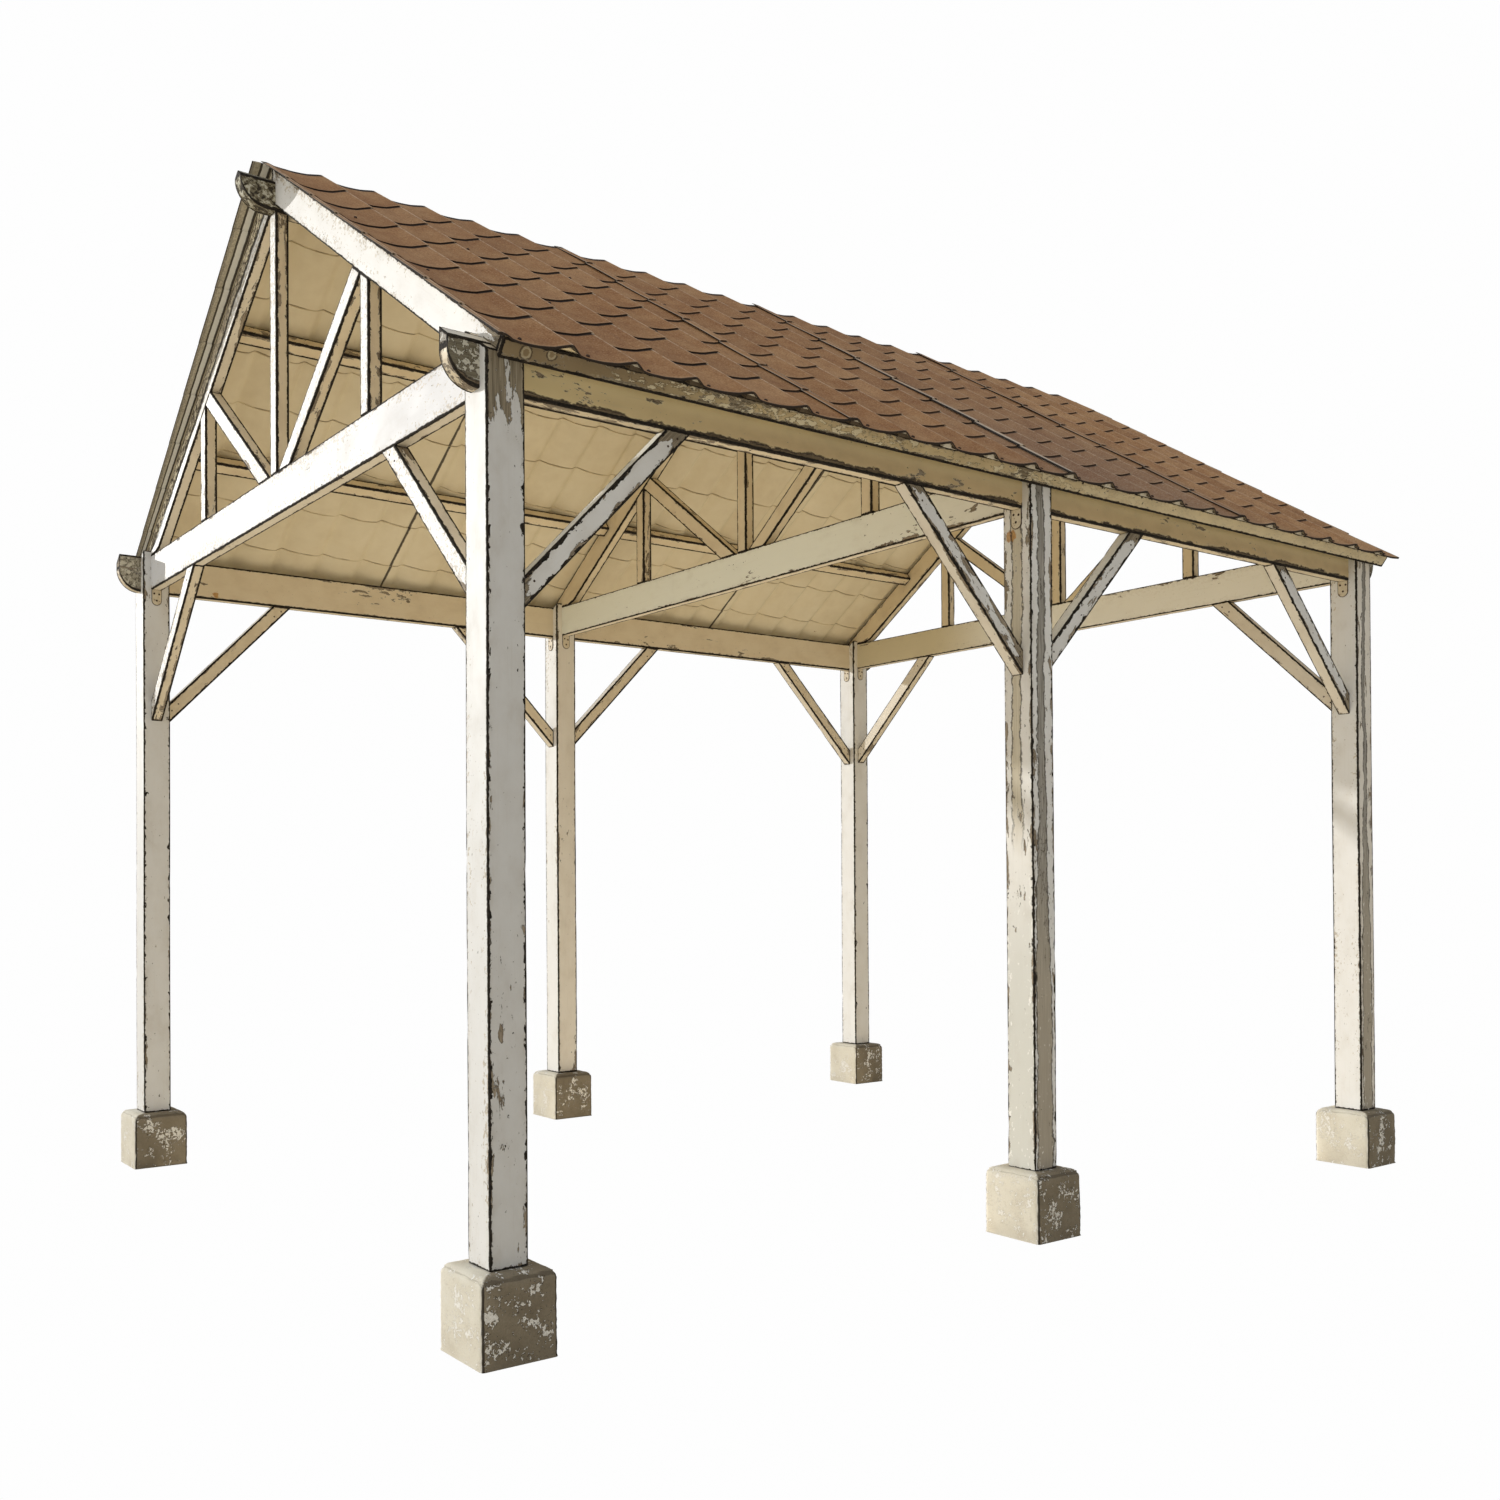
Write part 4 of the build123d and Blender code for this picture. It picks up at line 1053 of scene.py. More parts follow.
# fascias
for side_name, sg in SIDES:
    b = builder("timber_fascia_" + side_name)
    a = TAIL_X / COS
    pts = [(a, 0.0), (a + FASCIA_T, 0.0), (a + FASCIA_T, -FASCIA_D), (a, -FASCIA_D)]
    sec = [(sg * (p * COS + q * SIN), APEX - p * SIN + q * COS) for p, q in pts]
    straight(b, [(x, -BAY - HT, z) for x, z in sec], [(x, FASCIA_REAR, z) for x, z in sec],
             [0.2, 0.56, 0.50, 0.3], [0.5, 2.0, 1.8, 0.6], chamfer=0.0015)
    b.make([M_WOOD], "fascia_paint", ["fascia_" + side_name])


# ---------------------------------------------------------------- footings
def footing(name, cx, cy, node, sd):
    rng = np.random.default_rng(sd)
    n = 26
    g = np.linspace(-1, 1, n + 1)
    verts, faces, index = [], [], {}

    def vert(p):
        key = tuple(np.round(p, 5))
        if key not in index:
            index[key] = len(verts)
            verts.append(np.array(p, float))
        return index[key]

    # denser near the edges
    g = np.sign(g) * (1 - (1 - np.abs(g)) ** 1.25)
    for ax in range(3):
        for s in (-1.0, 1.0):
            for i in range(n):
                for j in range(n):
                    quad = []
                    for du, dv in ((0, 0), (1, 0), (1, 1), (0, 1)):
                        p = [0.0, 0.0, 0.0]
                        p[ax] = s
                        p[(ax + 1) % 3] = g[i + du]
                        p[(ax + 2) % 3] = g[j + dv]
                        quad.append(vert(p))
                    faces.append(quad if s > 0 else quad[::-1])
    V = np.array(verts)
    H = FOOT / 2
    x, y, z = V[:, 0] * H, V[:, 1] * H, (V[:, 2] + 1) / 2 * FOOT_H
    # vertical corners, then the rounded shoulder
    r = FOOT_C
    ix, iy = np.clip(x, -H + r, H - r), np.clip(y, -H + r, H - r)
    dx, dy = x - ix, y - iy
    dl = np.hypot(dx, dy)
    k = np.where((np.abs(dx) > 1e-9) & (np.abs(dy) > 1e-9), np.maximum(np.abs(dx), np.abs(dy)) / np.maximum(dl, 1e-9), 1.0)
    x, y = ix + dx * k, iy + dy * k
    r = FOOT_R
    sx, sy = x / H, y / H
    m = np.maximum(np.abs(sx), np.abs(sy))                   # 1 on the sides
    over = np.clip((z - (FOOT_H - r)) / r, 0, 1)
    out = np.clip((m * H - (H - r)) / r, 0, 1)
    ln = np.hypot(over, out)
    mx = np.maximum(over, out)
    q = np.where((over > 0) & (out > 0), mx / np.maximum(ln, 1e-9), 1.0)
    z2 = np.where(over > 0, FOOT_H - r + over * q * r, z)
    m2 = np.where((out > 0) & (over > 0), (H - r + out * q * r) / H, m)
    f = np.where(m > 1e-6, m2 / np.maximum(m, 1e-6), 1.0)
    x, y, z = x * f, y * f, z2
    # uneven cast surface, pushed inwards only
    ph = rng.uniform(0, 6.28, 12)
    bumpy = (np.sin(x * 31 + ph[0]) * np.sin(y * 27 + ph[1]) * np.sin(z * 23 + ph[2])
             + 0.5 * np.sin(x * 83 + ph[3] + 2 * np.sin(z * 40)) * np.sin(y * 71 + ph[4]) * np.sin(z * 66 + ph[5]))
    jit = rng.uniform(0, 1, len(x)) * 0.0007
    amt = 0.0012 * (bumpy + 1.0) * 0.8 + jit
    edge = (np.abs(np.abs(x) - H) < 0.02) & (np.abs(np.abs(y) - H) < 0.02)
    amt = amt + np.where(edge, rng.uniform(0, 1, len(x)) * 0.0012, 0)
    cen = np.array([0.0, 0.0, 0.5 * FOOT_H])
    P = np.stack([x, y, z], 1)
    D = P - cen
    ad = np.abs(D).max(1)
    N = np.where(np.abs(D) > ad[:, None] * 0.9, np.sign(D), 0.0)
    N[:, 2] = np.where(P[:, 2] < 0.004, 0.0, N[:, 2])
    P = P - N * amt[:, None] * (P[:, 2] > 0.001)[:, None]
    LP = P.copy()
    P[:, 0] += cx
    P[:, 1] += cy
    ob = new_mesh_object(name, P, faces, [M_CONC], smooth_angle=40)
    at = ob.data.attributes.new("lp", "FLOAT_VECTOR", "POINT")
    at.data.foreach_set("vector", LP.astype(np.float32).ravel())
    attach(ob, "root")
    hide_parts(node)
    return ob


for i, (row, y) in enumerate(ROWS):
    for k, (side_name, sg) in enumerate(SIDES):
        footing("footing_block_%s_%s" % (row, side_name), sg * HX, y,
                "footing_%s_%s" % (row, side_name), 100 + 10 * i + k)

# ---------------------------------------------------------------- roof sheets
PROFILE_T = np.array([0.0, .05, .09, .13, .19, .26, .40, .50, .60, .72, .85, .94, 1.0])
PROFILE_D = np.array([0.0, .28, .52, .78, .88, .95, 1.0, .97, .87, .74, .38, .12, 0.0])
# smooth periodic version of the profile
_tt = np.linspace(0, 1, 401)
_pp = np.interp(_tt, PROFILE_T, PROFILE_D)
_k = np.hanning(21); _k /= _k.sum()
_pp = np.convolve(np.concatenate([_pp[:-1], _pp[:-1], _pp[:-1]]), _k, "same")[400:801]
_pp = (_pp - _pp.min()) / (_pp.max() - _pp.min())
T_SAMPLES = np.array([0, .022, .045, .07, .10, .135, .175, .22, .28, .35, .42, .50, .58, .66, .74, .81, .87, .91, .94, .965, .985])


def wave_depth(t):
    return np.interp(t % 1.0, _tt, _pp)


def wave_height(s, y):
    """Crest height over the slope: the wave settles a little behind the front
    third and towards the eave, and its first crest is cut down at the verge."""
    back = np.clip((y + 1.95) / 0.55, 0, 1)
    eave = (np.clip(s, 0, SHEET_LEN) / SHEET_LEN) ** 4
    rear = np.clip((y - 1.7) / 0.6, 0, 1)
    h = WAVE_H - 0.0022 * back - eave * (0.0038 * np.clip((y + 2.15) / 0.3, 0, 1) + 0.004 * rear)
    verge = np.clip((-2.205 - y) / 0.075, 0, 1)
    return h * (1.0 - 0.50 * verge)


def step_share(t):
    """The pressed step is deepest on the long flank of the wave."""
    t = t % 1.0
    up = np.clip((t - 0.16) / 0.30, 0, 1)
    return 0.62 + 0.38 * up * up * (3 - 2 * up) * np.clip((1.02 - t) / 0.06, 0, 1)


def roof_sheet(name, side, y0, y1, at_lo, at_hi, sd):
    """One pressed sheet between the side joints y0 and y1. at_lo, at_hi: "end" at
    a verge, "over" where it laps onto its neighbour, "under" where it runs below."""
    rng = np.random.default_rng(sd)
    lo = y0 - {"end": 0.0, "over": 0.0005, "under": 0.034}[at_lo]
    hi = y1 + {"end": 0.0, "over": 0.0005, "under": 0.034}[at_hi]
    # columns
    ys = []
    k0 = int(math.floor((lo - CREST0) / WAVE)) - 1
    k1 = int(math.ceil((hi - CREST0) / WAVE)) + 1
    for k in range(k0, k1 + 1):
        for t in T_SAMPLES:
            tt = t if side > 0 else 1.0 - t
            ys.append(CREST0 + WAVE * (k + tt))
    ys = sorted(set(round(v, 6) for v in ys))
    ys = [v for v in ys if lo + 0.002 < v < hi - 0.002]
    ys = np.array([lo] + ys + [hi])
    tphase = ((ys - CREST0) / WAVE) % 1.0
    if side < 0:
        tphase = (1.0 - tphase) % 1.0
    dep = wave_depth(tphase)
    # rows: list of (slope distance, course fraction u, lift of the course plane)
    rows = []
    c_first = -1
    for c in range(c_first, 7):
        a = COURSE0 + COURSE * c
        whole = COURSE if c < 6 else SHEET_LEN - a     # the last course runs to the eave
        for u in (0.0, 0.02, 0.07, 0.2, 0.4, 0.6, 0.8, 0.92, 0.975, 1.0):
            s = a + 0.0012 + (whole - 0.0012) * u
            rows.append((s, u, u * STEP_H))
        rows.append((a + whole + 0.0002, 1.06, STEP_H * 0.5))
    rows = [r for r in rows if 0.004 < r[0] < SHEET_LEN - 0.0062]
    rows = [(0.0015, rows[0][1], rows[0][2])] + rows
    # rolled drip edge at the eave
    rows.append((SHEET_LEN - 0.006, 0.99, STEP_H))
    rows.append((SHEET_LEN - 0.0012, 1.010, STEP_H - 0.0006))
    rows.append((SHEET_LEN, 1.06, STEP_H - 0.0062))
    S = np.array([r[0] for r in rows]); U = np.array([r[1] for r in rows]); L = np.array([r[2] for r in rows])
    n, m = len(S), len(ys)
    base_lift = 0.0012
    # slow sag and handling dents, plus each course's own edge wobble
    ph = rng.uniform(0, 6.28, 6)
    SS, YY = np.meshgrid(S, ys, indexing="ij")
    warp = 0.0009 * np.sin(YY * 4.1 + ph[0]) * np.sin(SS * 3.3 + ph[1]) + 0.0006 * np.sin(YY * 13 + ph[2]) * np.sin(SS * 7 + ph[3])
    course_i = np.minimum(np.floor((SS - COURSE0 - 0.0008) / COURSE), 6)
    wob = 0.0011 * np.sin(YY * 23 + course_i * 2.1 + ph[4]) + 0.0007 * np.sin(YY * 61 + course_i * 4.7)
    flat = np.clip((0.28 - SS) / 0.28, 0, 1)      # the waves are shallower by the ridge
    high = wave_height(SS, YY)
    lift = (base_lift + high * (1 - dep)[None, :] * (1 - 0.42 * flat) + 0.24 * high * flat
            + L[:, None] * step_share(tphase)[None, :] + warp + 0.0009)
    wgt = np.clip((U - 0.6) / 0.4, 0, 1) * (U <= 1.001) + (U > 1.001) * 1.0
    slope = SS + wob * wgt[:, None] * (SS < SHEET_LEN - 0.010)
    # the first left-hand sheet was laid askew, out at the ridge and in at the eave
    if side < 0 and at_lo == "end":
        YY = YY + (-0.028 + 0.0178 * np.clip(SS, 0, SHEET_LEN)) * np.clip((hi - YY) / (hi - lo), 0, 1)
    # the lap rises over its neighbour
    up = np.zeros(m)
    if at_lo == "over":
        up = np.maximum(up, np.clip((lo + 0.042 - ys) / 0.042, 0, 1))
    if at_hi == "over":
        up = np.maximum(up, np.clip((ys - hi + 0.042) / 0.042, 0, 1))
    up = up * up * (3 - 2 * up)
    lift = lift + 0.0058 * up[None, :] * (1.0 + 0.25 * np.sin(SS * 9.0 + ph[5]))
    th = 0.0014
    X = side * (slope * COS + lift * SIN)
    Z = APEX - slope * SIN + lift * COS
    # keep the two slopes apart at the ridge
    X = np.where(side * X < 0.0008, side * 0.0008, X)
    top = np.stack([X, YY, Z], -1).reshape(-1, 3)
    # lower skin, offset along the wave normal
    dl = np.gradient(lift, axis=1) / np.maximum(np.gradient(YY, axis=1), 1e-6)
    nl = 1.0 / np.sqrt(1 + dl ** 2)
    ny = -dl * nl
    l2 = lift - th * nl
    y2 = YY - th * ny
    y2[:, 0], y2[:, -1] = YY[:, 0], YY[:, -1]
    # the lower skin turns its step a skin's thickness further up the slope
    at_step = (U > 0.98) & (S < SHEET_LEN - 0.02)
    after = np.concatenate([[False], at_step[:-1]]) & (U < 0.01)
    slope2 = slope - 0.0019 * (at_step | after)[:, None]
    slope2[-1] -= 0.0013
    slope2[-2] -= 0.0008
    X2 = side * (slope2 * COS + l2 * SIN)
    Z2 = APEX - slope2 * SIN + l2 * COS
    X2 = np.where(side * X2 < 0.0006, side * 0.0006, X2)
    bot = np.stack([X2, y2, Z2], -1).reshape(-1, 3)
    verts = np.concatenate([top, bot])
    off = n * m
    i, j = np.meshgrid(np.arange(n - 1), np.arange(m - 1), indexing="ij")
    a = (i * m + j).ravel(); bq = (i * m + j + 1).ravel()
    c = ((i + 1) * m + j + 1).ravel(); d = ((i + 1) * m + j).ravel()
    top_f = np.stack([a, d, c, bq], 1) if side > 0 else np.stack([a, bq, c, d], 1)
    bot_f = top_f[:, ::-1] + off
    rim = []
    for q in range(m - 1):
        rim.append([q, q + 1, q + 1 + off, q + off])
        p = (n - 1) * m + q
        rim.append([p + 1, p, p + off, p + 1 + off])
    for q in range(n - 1):
        p = q * m
        rim.append([p + m, p, p + off, p + m + off])
        p = q * m + m - 1
        rim.append([p, p + m, p + m + off, p + off])
    if side < 0:
        rim = [r[::-1] for r in rim]
    faces = top_f.tolist() + bot_f.tolist() + rim
    mats = [0] * len(top_f) + [1] * len(bot_f) + [0] * len(rim)
    me = bpy.data.meshes.new(name)
    me.from_pydata(verts.tolist(), [], faces)
    ob = bpy.data.objects.new(name, me)
    scene.collection.objects.link(ob)
    me.materials.append(M_ROOF)
    me.materials.append(M_UNDER)
    me.polygons.foreach_set("material_index", np.array(mats, np.int32))
    loc = np.stack([YY + (9.0 if side < 0 else 0.0), SS, lift], -1).reshape(-1, 3)
    seam = np.broadcast_to(np.minimum(np.abs(ys - lo), np.abs(ys - hi))[None, :], YY.shape)
    ed = np.stack([np.broadcast_to(U[:, None], YY.shape), np.broadcast_to(tphase[None, :], YY.shape), seam], -1).reshape(-1, 3)
    at = me.attributes.new("loc", "FLOAT_VECTOR", "POINT")
    at.data.foreach_set("vector", np.concatenate([loc, loc]).astype(np.float32).ravel())
    # course data per corner, so that it breaks cleanly at each step and crest
    ed2 = np.concatenate([ed, ed])
    corner = np.zeros((len(me.loops), 3), np.float32)
    vi = np.zeros(len(me.loops), np.int32)
    me.loops.foreach_get("vertex_index", vi)
    corner[:] = ed2[vi]
    ls = np.zeros(len(me.polygons), np.int32); lt = np.zeros(len(me.polygons), np.int32)
    me.polygons.foreach_get("loop_start", ls)
    me.polygons.foreach_get("loop_total", lt)
    quads = corner[(ls[:, None] + np.arange(4)[None, :])]
    # a face just below a step starts again at u = 0
    uu = quads[..., 0]
    wrap = (uu.max(1) > 1.0) & (uu.min(1) < 0.5)
    uu[wrap] = np.where(uu[wrap] > 1.0, 0.0, uu[wrap])
    tt = quads[..., 1]
    wrap = (tt.max(1) - tt.min(1)) > 0.5
    tt[wrap] = np.where(tt[wrap] < 0.5, tt[wrap] + 1.0, tt[wrap])
    corner[(ls[:, None] + np.arange(4)[None, :])] = quads
    at = me.attributes.new("ed", "FLOAT_VECTOR", "CORNER")
    at.data.foreach_set("vector", corner.ravel())
    me.shade_smooth()
    me.set_sharp_from_angle(angle=math.radians(28))
    me.update()
    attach(ob, "root")
    return ob


sheet_edges = (SHEET_FRONT,) + SHEET_JOINTS + (SHEET_REAR,)
for side_name, sg in SIDES:
    for i in range(len(sheet_edges) - 1):
        first, last = i == 0, i == len(sheet_edges) - 2
        at_lo, at_hi = ("over", "under") if sg > 0 else ("under", "over")
        roof_sheet("roof_sheet_%s_%d" % (side_name, i + 1), sg,
                              sheet_edges[i], sheet_edges[i + 1],
                              "end" if first else at_lo, "end" if last else at_hi,
                              300 + i + (50 if sg < 0 else 0))
    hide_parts("roof_sheets_" + side_name)


# eave closers below the wave crests
def closers(name, side, k_first):
    verts, faces, share = [], [], []
    s0, s1 = 2.040, 2.066
    for k in range(k_first, 22):
        ts = np.linspace(-0.05, 0.24, 11)
        cols = []
        for t in ts:
            tt = t if side > 0 else -t
            y = CREST0 + WAVE * (k + tt)
            dd = float(wave_depth(t % 1.0))
            top = (0.0012 + float(wave_height(s0, y)) * (1 - dd) + 0.0009
                   + 0.90 * STEP_H * float(step_share(tt)) - 0.0030)
            cols.append((y, max(top, 0.0015)))
        if side < 0:
            cols = cols[::-1]
        base = len(verts)
        for s in (s0, s1):
            for y, top in cols:
                for lf in (0.0003, top):
                    verts.append((side * (s * COS + lf * SIN), y, APEX - s * SIN + lf * COS))
                    # share: how far each corner stands out of the painted shade under the wave, none low down on the
                    # front eight
                    share.append((0.0 if k < 8 else 0.75) if lf < 0.0004 else max(0.15, min(1.0, top / 0.021)))
        n = len(cols)

        def v(i, j, w):
            return base + (i * n + j) * 2 + w
        for j in range(n - 1):
            faces.append([v(0, j, 0), v(0, j, 1), v(0, j + 1, 1), v(0, j + 1, 0)])
            faces.append([v(1, j, 0), v(1, j + 1, 0), v(1, j + 1, 1), v(1, j, 1)])
            faces.append([v(0, j, 1), v(1, j, 1), v(1, j + 1, 1), v(0, j + 1, 1)])
            faces.append([v(0, j, 0), v(0, j + 1, 0), v(1, j + 1, 0), v(1, j, 0)])
        faces.append([v(0, 0, 0), v(1, 0, 0), v(1, 0, 1), v(0, 0, 1)])
        faces.append([v(0, n - 1, 0), v(0, n - 1, 1), v(1, n - 1, 1), v(1, n - 1, 0)])
    if side < 0:
        faces = [f[::-1] for f in faces]
    ob = new_mesh_object(name, verts, faces, [M_FILL])
    lp = np.zeros((len(verts), 3), np.float32)
    lp[:, 0] = share
    at = ob.data.attributes.new("lp", "FLOAT_VECTOR", "POINT")
    at.data.foreach_set("vector", lp.ravel())
    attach(ob, "root")


closers("eave_closers_right", 1.0, 2)
closers("eave_closers_left", -1.0, 0)


# ---------------------------------------------------------------- plates and screws
screw_v, screw_f = [], []


def screw(p, nrm, r=0.0042, h=0.0016, spin=0.0, seg=12):
    """Low domed head with a cross recess suggested by a sunk centre."""
    p, nrm = Vector(p), Vector(nrm).normalized()
    a = nrm.orthogonal().normalized()
    c = nrm.cross(a)
    base = len(screw_v)
    rings = ((1.0, -0.0006), (1.0, h * 0.35), (0.80, h * 0.85), (0.45, h), (0.30, h * 0.55))
    for rr, hh in rings:
        for i in range(seg):
            w = 2 * math.pi * i / seg + spin
            screw_v.append(tuple(p + (a * math.cos(w) + c * math.sin(w)) * r * rr + nrm * hh))
    for q in range(len(rings) - 1):
        for i in range(seg):
            j = (i + 1) % seg
            screw_f.append([base + q * seg + i, base + q * seg + j,
                            base + (q + 1) * seg + j, base + (q + 1) * seg + i])
    screw_f.append([base + (len(rings) - 1) * seg + i for i in range(seg)])
    screw_f.append([base + i for i in range(seg)][::-1])


bracket_v, bracket_f, bracket_m = [], [], []


def bracket(origin, across, out, top, rng):
    """Steel plate with a half-round foot and softened rim, three screws."""
    o = Vector((origin[0], origin[1], 0.0))
    ac, ou = Vector((across[0], across[1], 0.0)), Vector((out[0], out[1], 0.0))
    r = BR_W / 2
    tilt = rng.uniform(-0.02, 0.02)

    def outline(inset):
        pts = [(-r + inset, top - inset * 0.5), (r - inset, top - inset * 0.5)]
        for i in range(0, 17):
            a = math.pi * i / 16.0
            pts.append(((r - inset) * math.cos(a), top - BR_H + r - (r - inset) * math.sin(a)))
        return pts

    layers = ((0.0, 0.0), (0.0, BR_T - 0.0008), (0.0024, BR_T))
    base = len(bracket_v)
    n = len(outline(0.0))
    for inset, d in layers:
        for u, z in outline(inset):
            z2 = z + tilt * u if z < top - 0.01 else z
            bracket_v.append(tuple(o + ac * u + ou * d + Vector((0, 0, z2))))
    # orientation from a test normal
    flip = (ac.cross(Vector((0, 0, 1)))).dot(ou) < 0
    bracket_m.extend([1] * ((len(layers) - 1) * n) + [0, 1])
    quads = []
    for q in range(len(layers) - 1):
        for i in range(n):
            j = (i + 1) % n
            quads.append([base + q * n + i, base + (q + 1) * n + i, base + (q + 1) * n + j, base + q * n + j])
    quads.append([base + (len(layers) - 1) * n + i for i in range(n)][::-1])
    quads.append([base + i for i in range(n)])
    if flip:
        quads = [f[::-1] for f in quads]
    bracket_f.extend(quads)
    for u, z in ((-0.011, -0.017), (0.012, -0.020), (0.000, -0.048)):
        screw(o + ac * (u + rng.uniform(-0.0015, 0.0015)) + ou * BR_T + Vector((0, 0, top + z + rng.uniform(-0.002, 0.002))),
              ou, r=0.0046, spin=rng.uniform(0, 1))


rng = random.Random(77)
for row, y in ROWS:
    for _, sg in SIDES:
        bracket((sg * (HX - HP), y), (0, 1), (-sg, 0), TIE_Z0, rng)
for _, sg in SIDES:
    for y, way in ((-BAY, 1.0), (0.0, -1.0), (0.0, 1.0), (BAY, -1.0)):
        bracket((sg * HX, y + way * HP), (1, 0), (0, way), PLATE_Z0, rng)
ob = new_mesh_object("joint_plates", bracket_v, bracket_f, [M_STEEL, M_SCREW], bracket_m)
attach(ob, "root")
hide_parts("joint_brackets")

# screws through the brace feet and heads
for row, y in (ROWS[0], ROWS[2]):
    for _, sg in SIDES:
        for (dx, dz) in ((0.020, 0.045), (0.050, 0.075), (0.032, 0.090)):
            for fy in (-1, 1):
                screw((sg * (HX - HP - dx), y + fy * HT, TIE_Z0 - BRACE_OUT + dz + 0.012), (0, fy, 0), r=0.0036)
        for (dx, dz) in ((-0.045, 0.022), (-0.080, 0.050)):
            for fy in (-1, 1):
                screw((sg * (HX - HP - BRACE_OUT - dx + 0.012), y + fy * HT, TIE_Z0 - dz), (0, fy, 0), r=0.0036)
for _, sg in SIDES:
    for y, way in ((-BAY, 1.0), (0.0, -1.0), (0.0, 1.0), (BAY, -1.0)):
        for (dy, dz) in ((0.020, 0.055), (0.050, 0.088), (0.030, 0.100)):
            for fx in (-1, 1):
                screw((sg * HX + fx * HT, y + way * (HP + dy), PLATE_Z0 - BRACE_OUT + dz + 0.010), (fx, 0, 0), r=0.0036)
        for (dy, dz) in ((0.050, 0.022), (0.085, 0.050)):
            for fx in (-1, 1):
                screw((sg * HX + fx * HT, y + way * (HP + BRACE_OUT - dy), PLATE_Z0 - dz), (fx, 0, 0), r=0.0036)
# roof screws: in the wave troughs near the eave and over the purlins
rs = random.Random(5)
for _, sg in SIDES:
    for k in range(0, 22):
        for s, every in ((2.060, 1), (1.395 - 0.05, 2), (0.700, 2)):
            if (k % every) == 0:
                t = 0.30 if s > 2 else 0.45
                y = CREST0 + WAVE * (k + (t if sg > 0 else -t)) + rs.uniform(-0.006, 0.006)
                if y < SHEET_FRONT + 0.02 or y > SHEET_REAR - 0.02:
                    continue
                u = ((s - COURSE0) / COURSE) % 1.0 if s < COURSE0 + 7 * COURSE else 0.9
                lf = (0.0012 + float(wave_height(s, y)) * (1 - float(wave_depth(t))) + 0.0009
                      + u * STEP_H * float(step_share(t)))
                screw((sg * (s * COS + lf * SIN), y, APEX - s * SIN + lf * COS), (sg * SIN, 0, COS), r=0.0062, h=0.0045, seg=6 if s < 2 else 8)
ob = new_mesh_object("screws", screw_v, screw_f, [M_SCREW], smooth_angle=35)
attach(ob, "root")


# ---------------------------------------------------------------- stage, light, camera
def floor_material():
    """Pale studio floor. It reads as white paper and throws warm light up."""
    g = Nodes("studio_floor")
    n = g.noise(g.obj(), 0.8, 2.0)
    g.put(g.bsdf.inputs["Base Color"], g.mix(n, (0.80, 0.71, 0.555), (0.84, 0.75, 0.60)))
    g.bsdf.inputs["Roughness"].default_value = 0.95
    g.bsdf.inputs["Specular IOR Level"].default_value = 0.0
    white = g.nt.nodes.new("ShaderNodeEmission")
    g.put(white.inputs[0], g.mix(n, (0.988, 0.988, 0.988), (0.992, 0.992, 0.992)))
    white.inputs[1].default_value = 1.0
    path = g.nt.nodes.new("ShaderNodeLightPath")
    both = g.nt.nodes.new("ShaderNodeMixShader")
    g.nt.links.new(path.outputs["Is Camera Ray"], both.inputs[0])
    g.nt.links.new(g.bsdf.outputs[0], both.inputs[1])
    g.nt.links.new(white.outputs[0], both.inputs[2])
    g.nt.links.new(both.outputs[0], g.out.inputs[0])
    return g.mat


me = bpy.data.meshes.new("studio_floor")
ring = [(40 * math.cos(2 * math.pi * i / 64), 40 * math.sin(2 * math.pi * i / 64), -0.0006) for i in range(64)]
me.from_pydata(ring, [], [list(range(64))])
floor = bpy.data.objects.new("studio_floor", me)
scene.collection.objects.link(floor)
me.materials.append(floor_material())

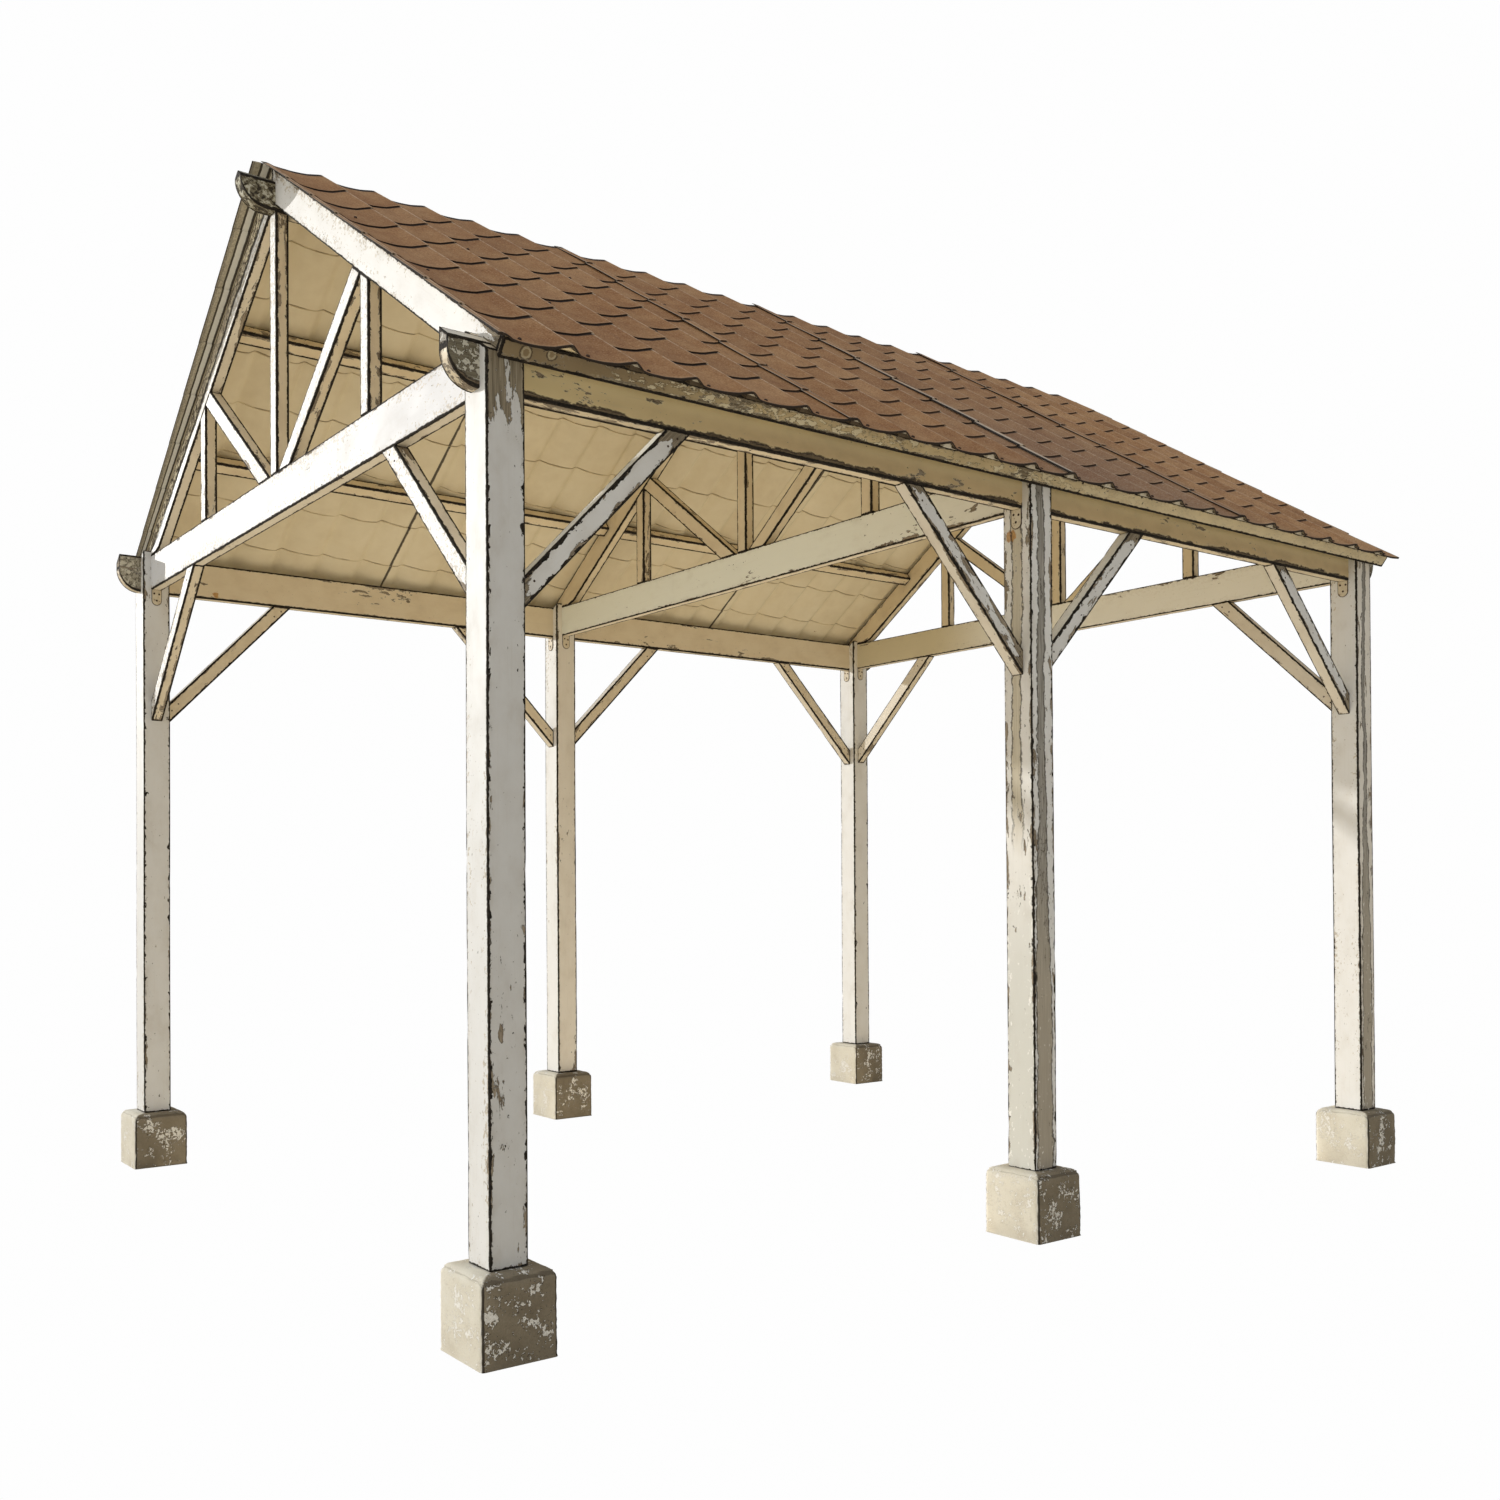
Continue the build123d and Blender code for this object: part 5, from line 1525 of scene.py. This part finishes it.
world = bpy.data.worlds.new("studio")
scene.world = world
world.use_nodes = True
wn = world.node_tree
wn.nodes.clear()
wo = wn.nodes.new("ShaderNodeOutputWorld")
amb = wn.nodes.new("ShaderNodeBackground")
amb.inputs[0].default_value = (0.96, 0.98, 1.0, 1.0)
amb.inputs[1].default_value = 0.34
seen = wn.nodes.new("ShaderNodeBackground")
seen.inputs[0].default_value = (1.0, 1.0, 1.0, 1.0)
seen.inputs[1].default_value = 0.99
lp = wn.nodes.new("ShaderNodeLightPath")
mx = wn.nodes.new("ShaderNodeMixShader")
wn.links.new(lp.outputs["Is Camera Ray"], mx.inputs[0])
wn.links.new(amb.outputs[0], mx.inputs[1])
wn.links.new(seen.outputs[0], mx.inputs[2])
wn.links.new(mx.outputs[0], wo.inputs[0])


def lamp(name, travel, energy, angle, color):
    li = bpy.data.lights.new(name, "SUN")
    li.energy = energy
    li.angle = math.radians(angle)
    li.color = color
    o = bpy.data.objects.new(name, li)
    scene.collection.objects.link(o)
    o.rotation_euler = Vector(travel).to_track_quat("-Z", "Y").to_euler()


# low key from the left and in front, wide soft fill from the front
lamp("key", (1.88, 1.0, -0.56), 2.3, 1.2, (1.0, 0.985, 0.955))
lamp("fill", (0.10, 1.0, -0.10), 0.75, 70.0, (1.0, 0.985, 0.95))
lamp("top", (-0.30, 0.20, -1.0), 0.50, 90.0, (1.0, 0.99, 0.96))

# warm light thrown up between the posts
up = bpy.data.lights.new("bounce", "AREA")
up.shape = "RECTANGLE"
up.size, up.size_y = 3.0, 4.5
up.energy = 22.0
up.color = (1.0, 0.86, 0.64)
uo = bpy.data.objects.new("bounce", up)
scene.collection.objects.link(uo)
uo.location = (0.0, 0.0, 0.004)
uo.rotation_euler = (math.pi, 0.0, 0.0)
uo.visible_camera = False

cam = bpy.data.cameras.new("camera")
cam.sensor_fit = "HORIZONTAL"
cam.sensor_width = 36.0
cam.lens = 33.44633
cam.shift_x = 0.105309
cam.shift_y = 0.079010
cam.clip_end = 200.0
co = bpy.data.objects.new("camera", cam)
scene.collection.objects.link(co)
r0 = Vector((0.558877933, 0.829234924, -0.004989748))
r1 = Vector((-0.010121638, 0.000804681, -0.999948451))
r2 = Vector((-0.829188162, 0.558899628, 0.008842931))
rot = Matrix((r0, -r1, -r2)).transposed()
co.matrix_world = Matrix.Translation(Vector((4.864703, -4.132584, 1.279834))) @ rot.to_4x4()
scene.camera = co
scene.view_settings.view_transform = "Standard"
scene.view_settings.look = "None"
scene.view_settings.exposure = 0.0
scene.view_settings.gamma = 1.0
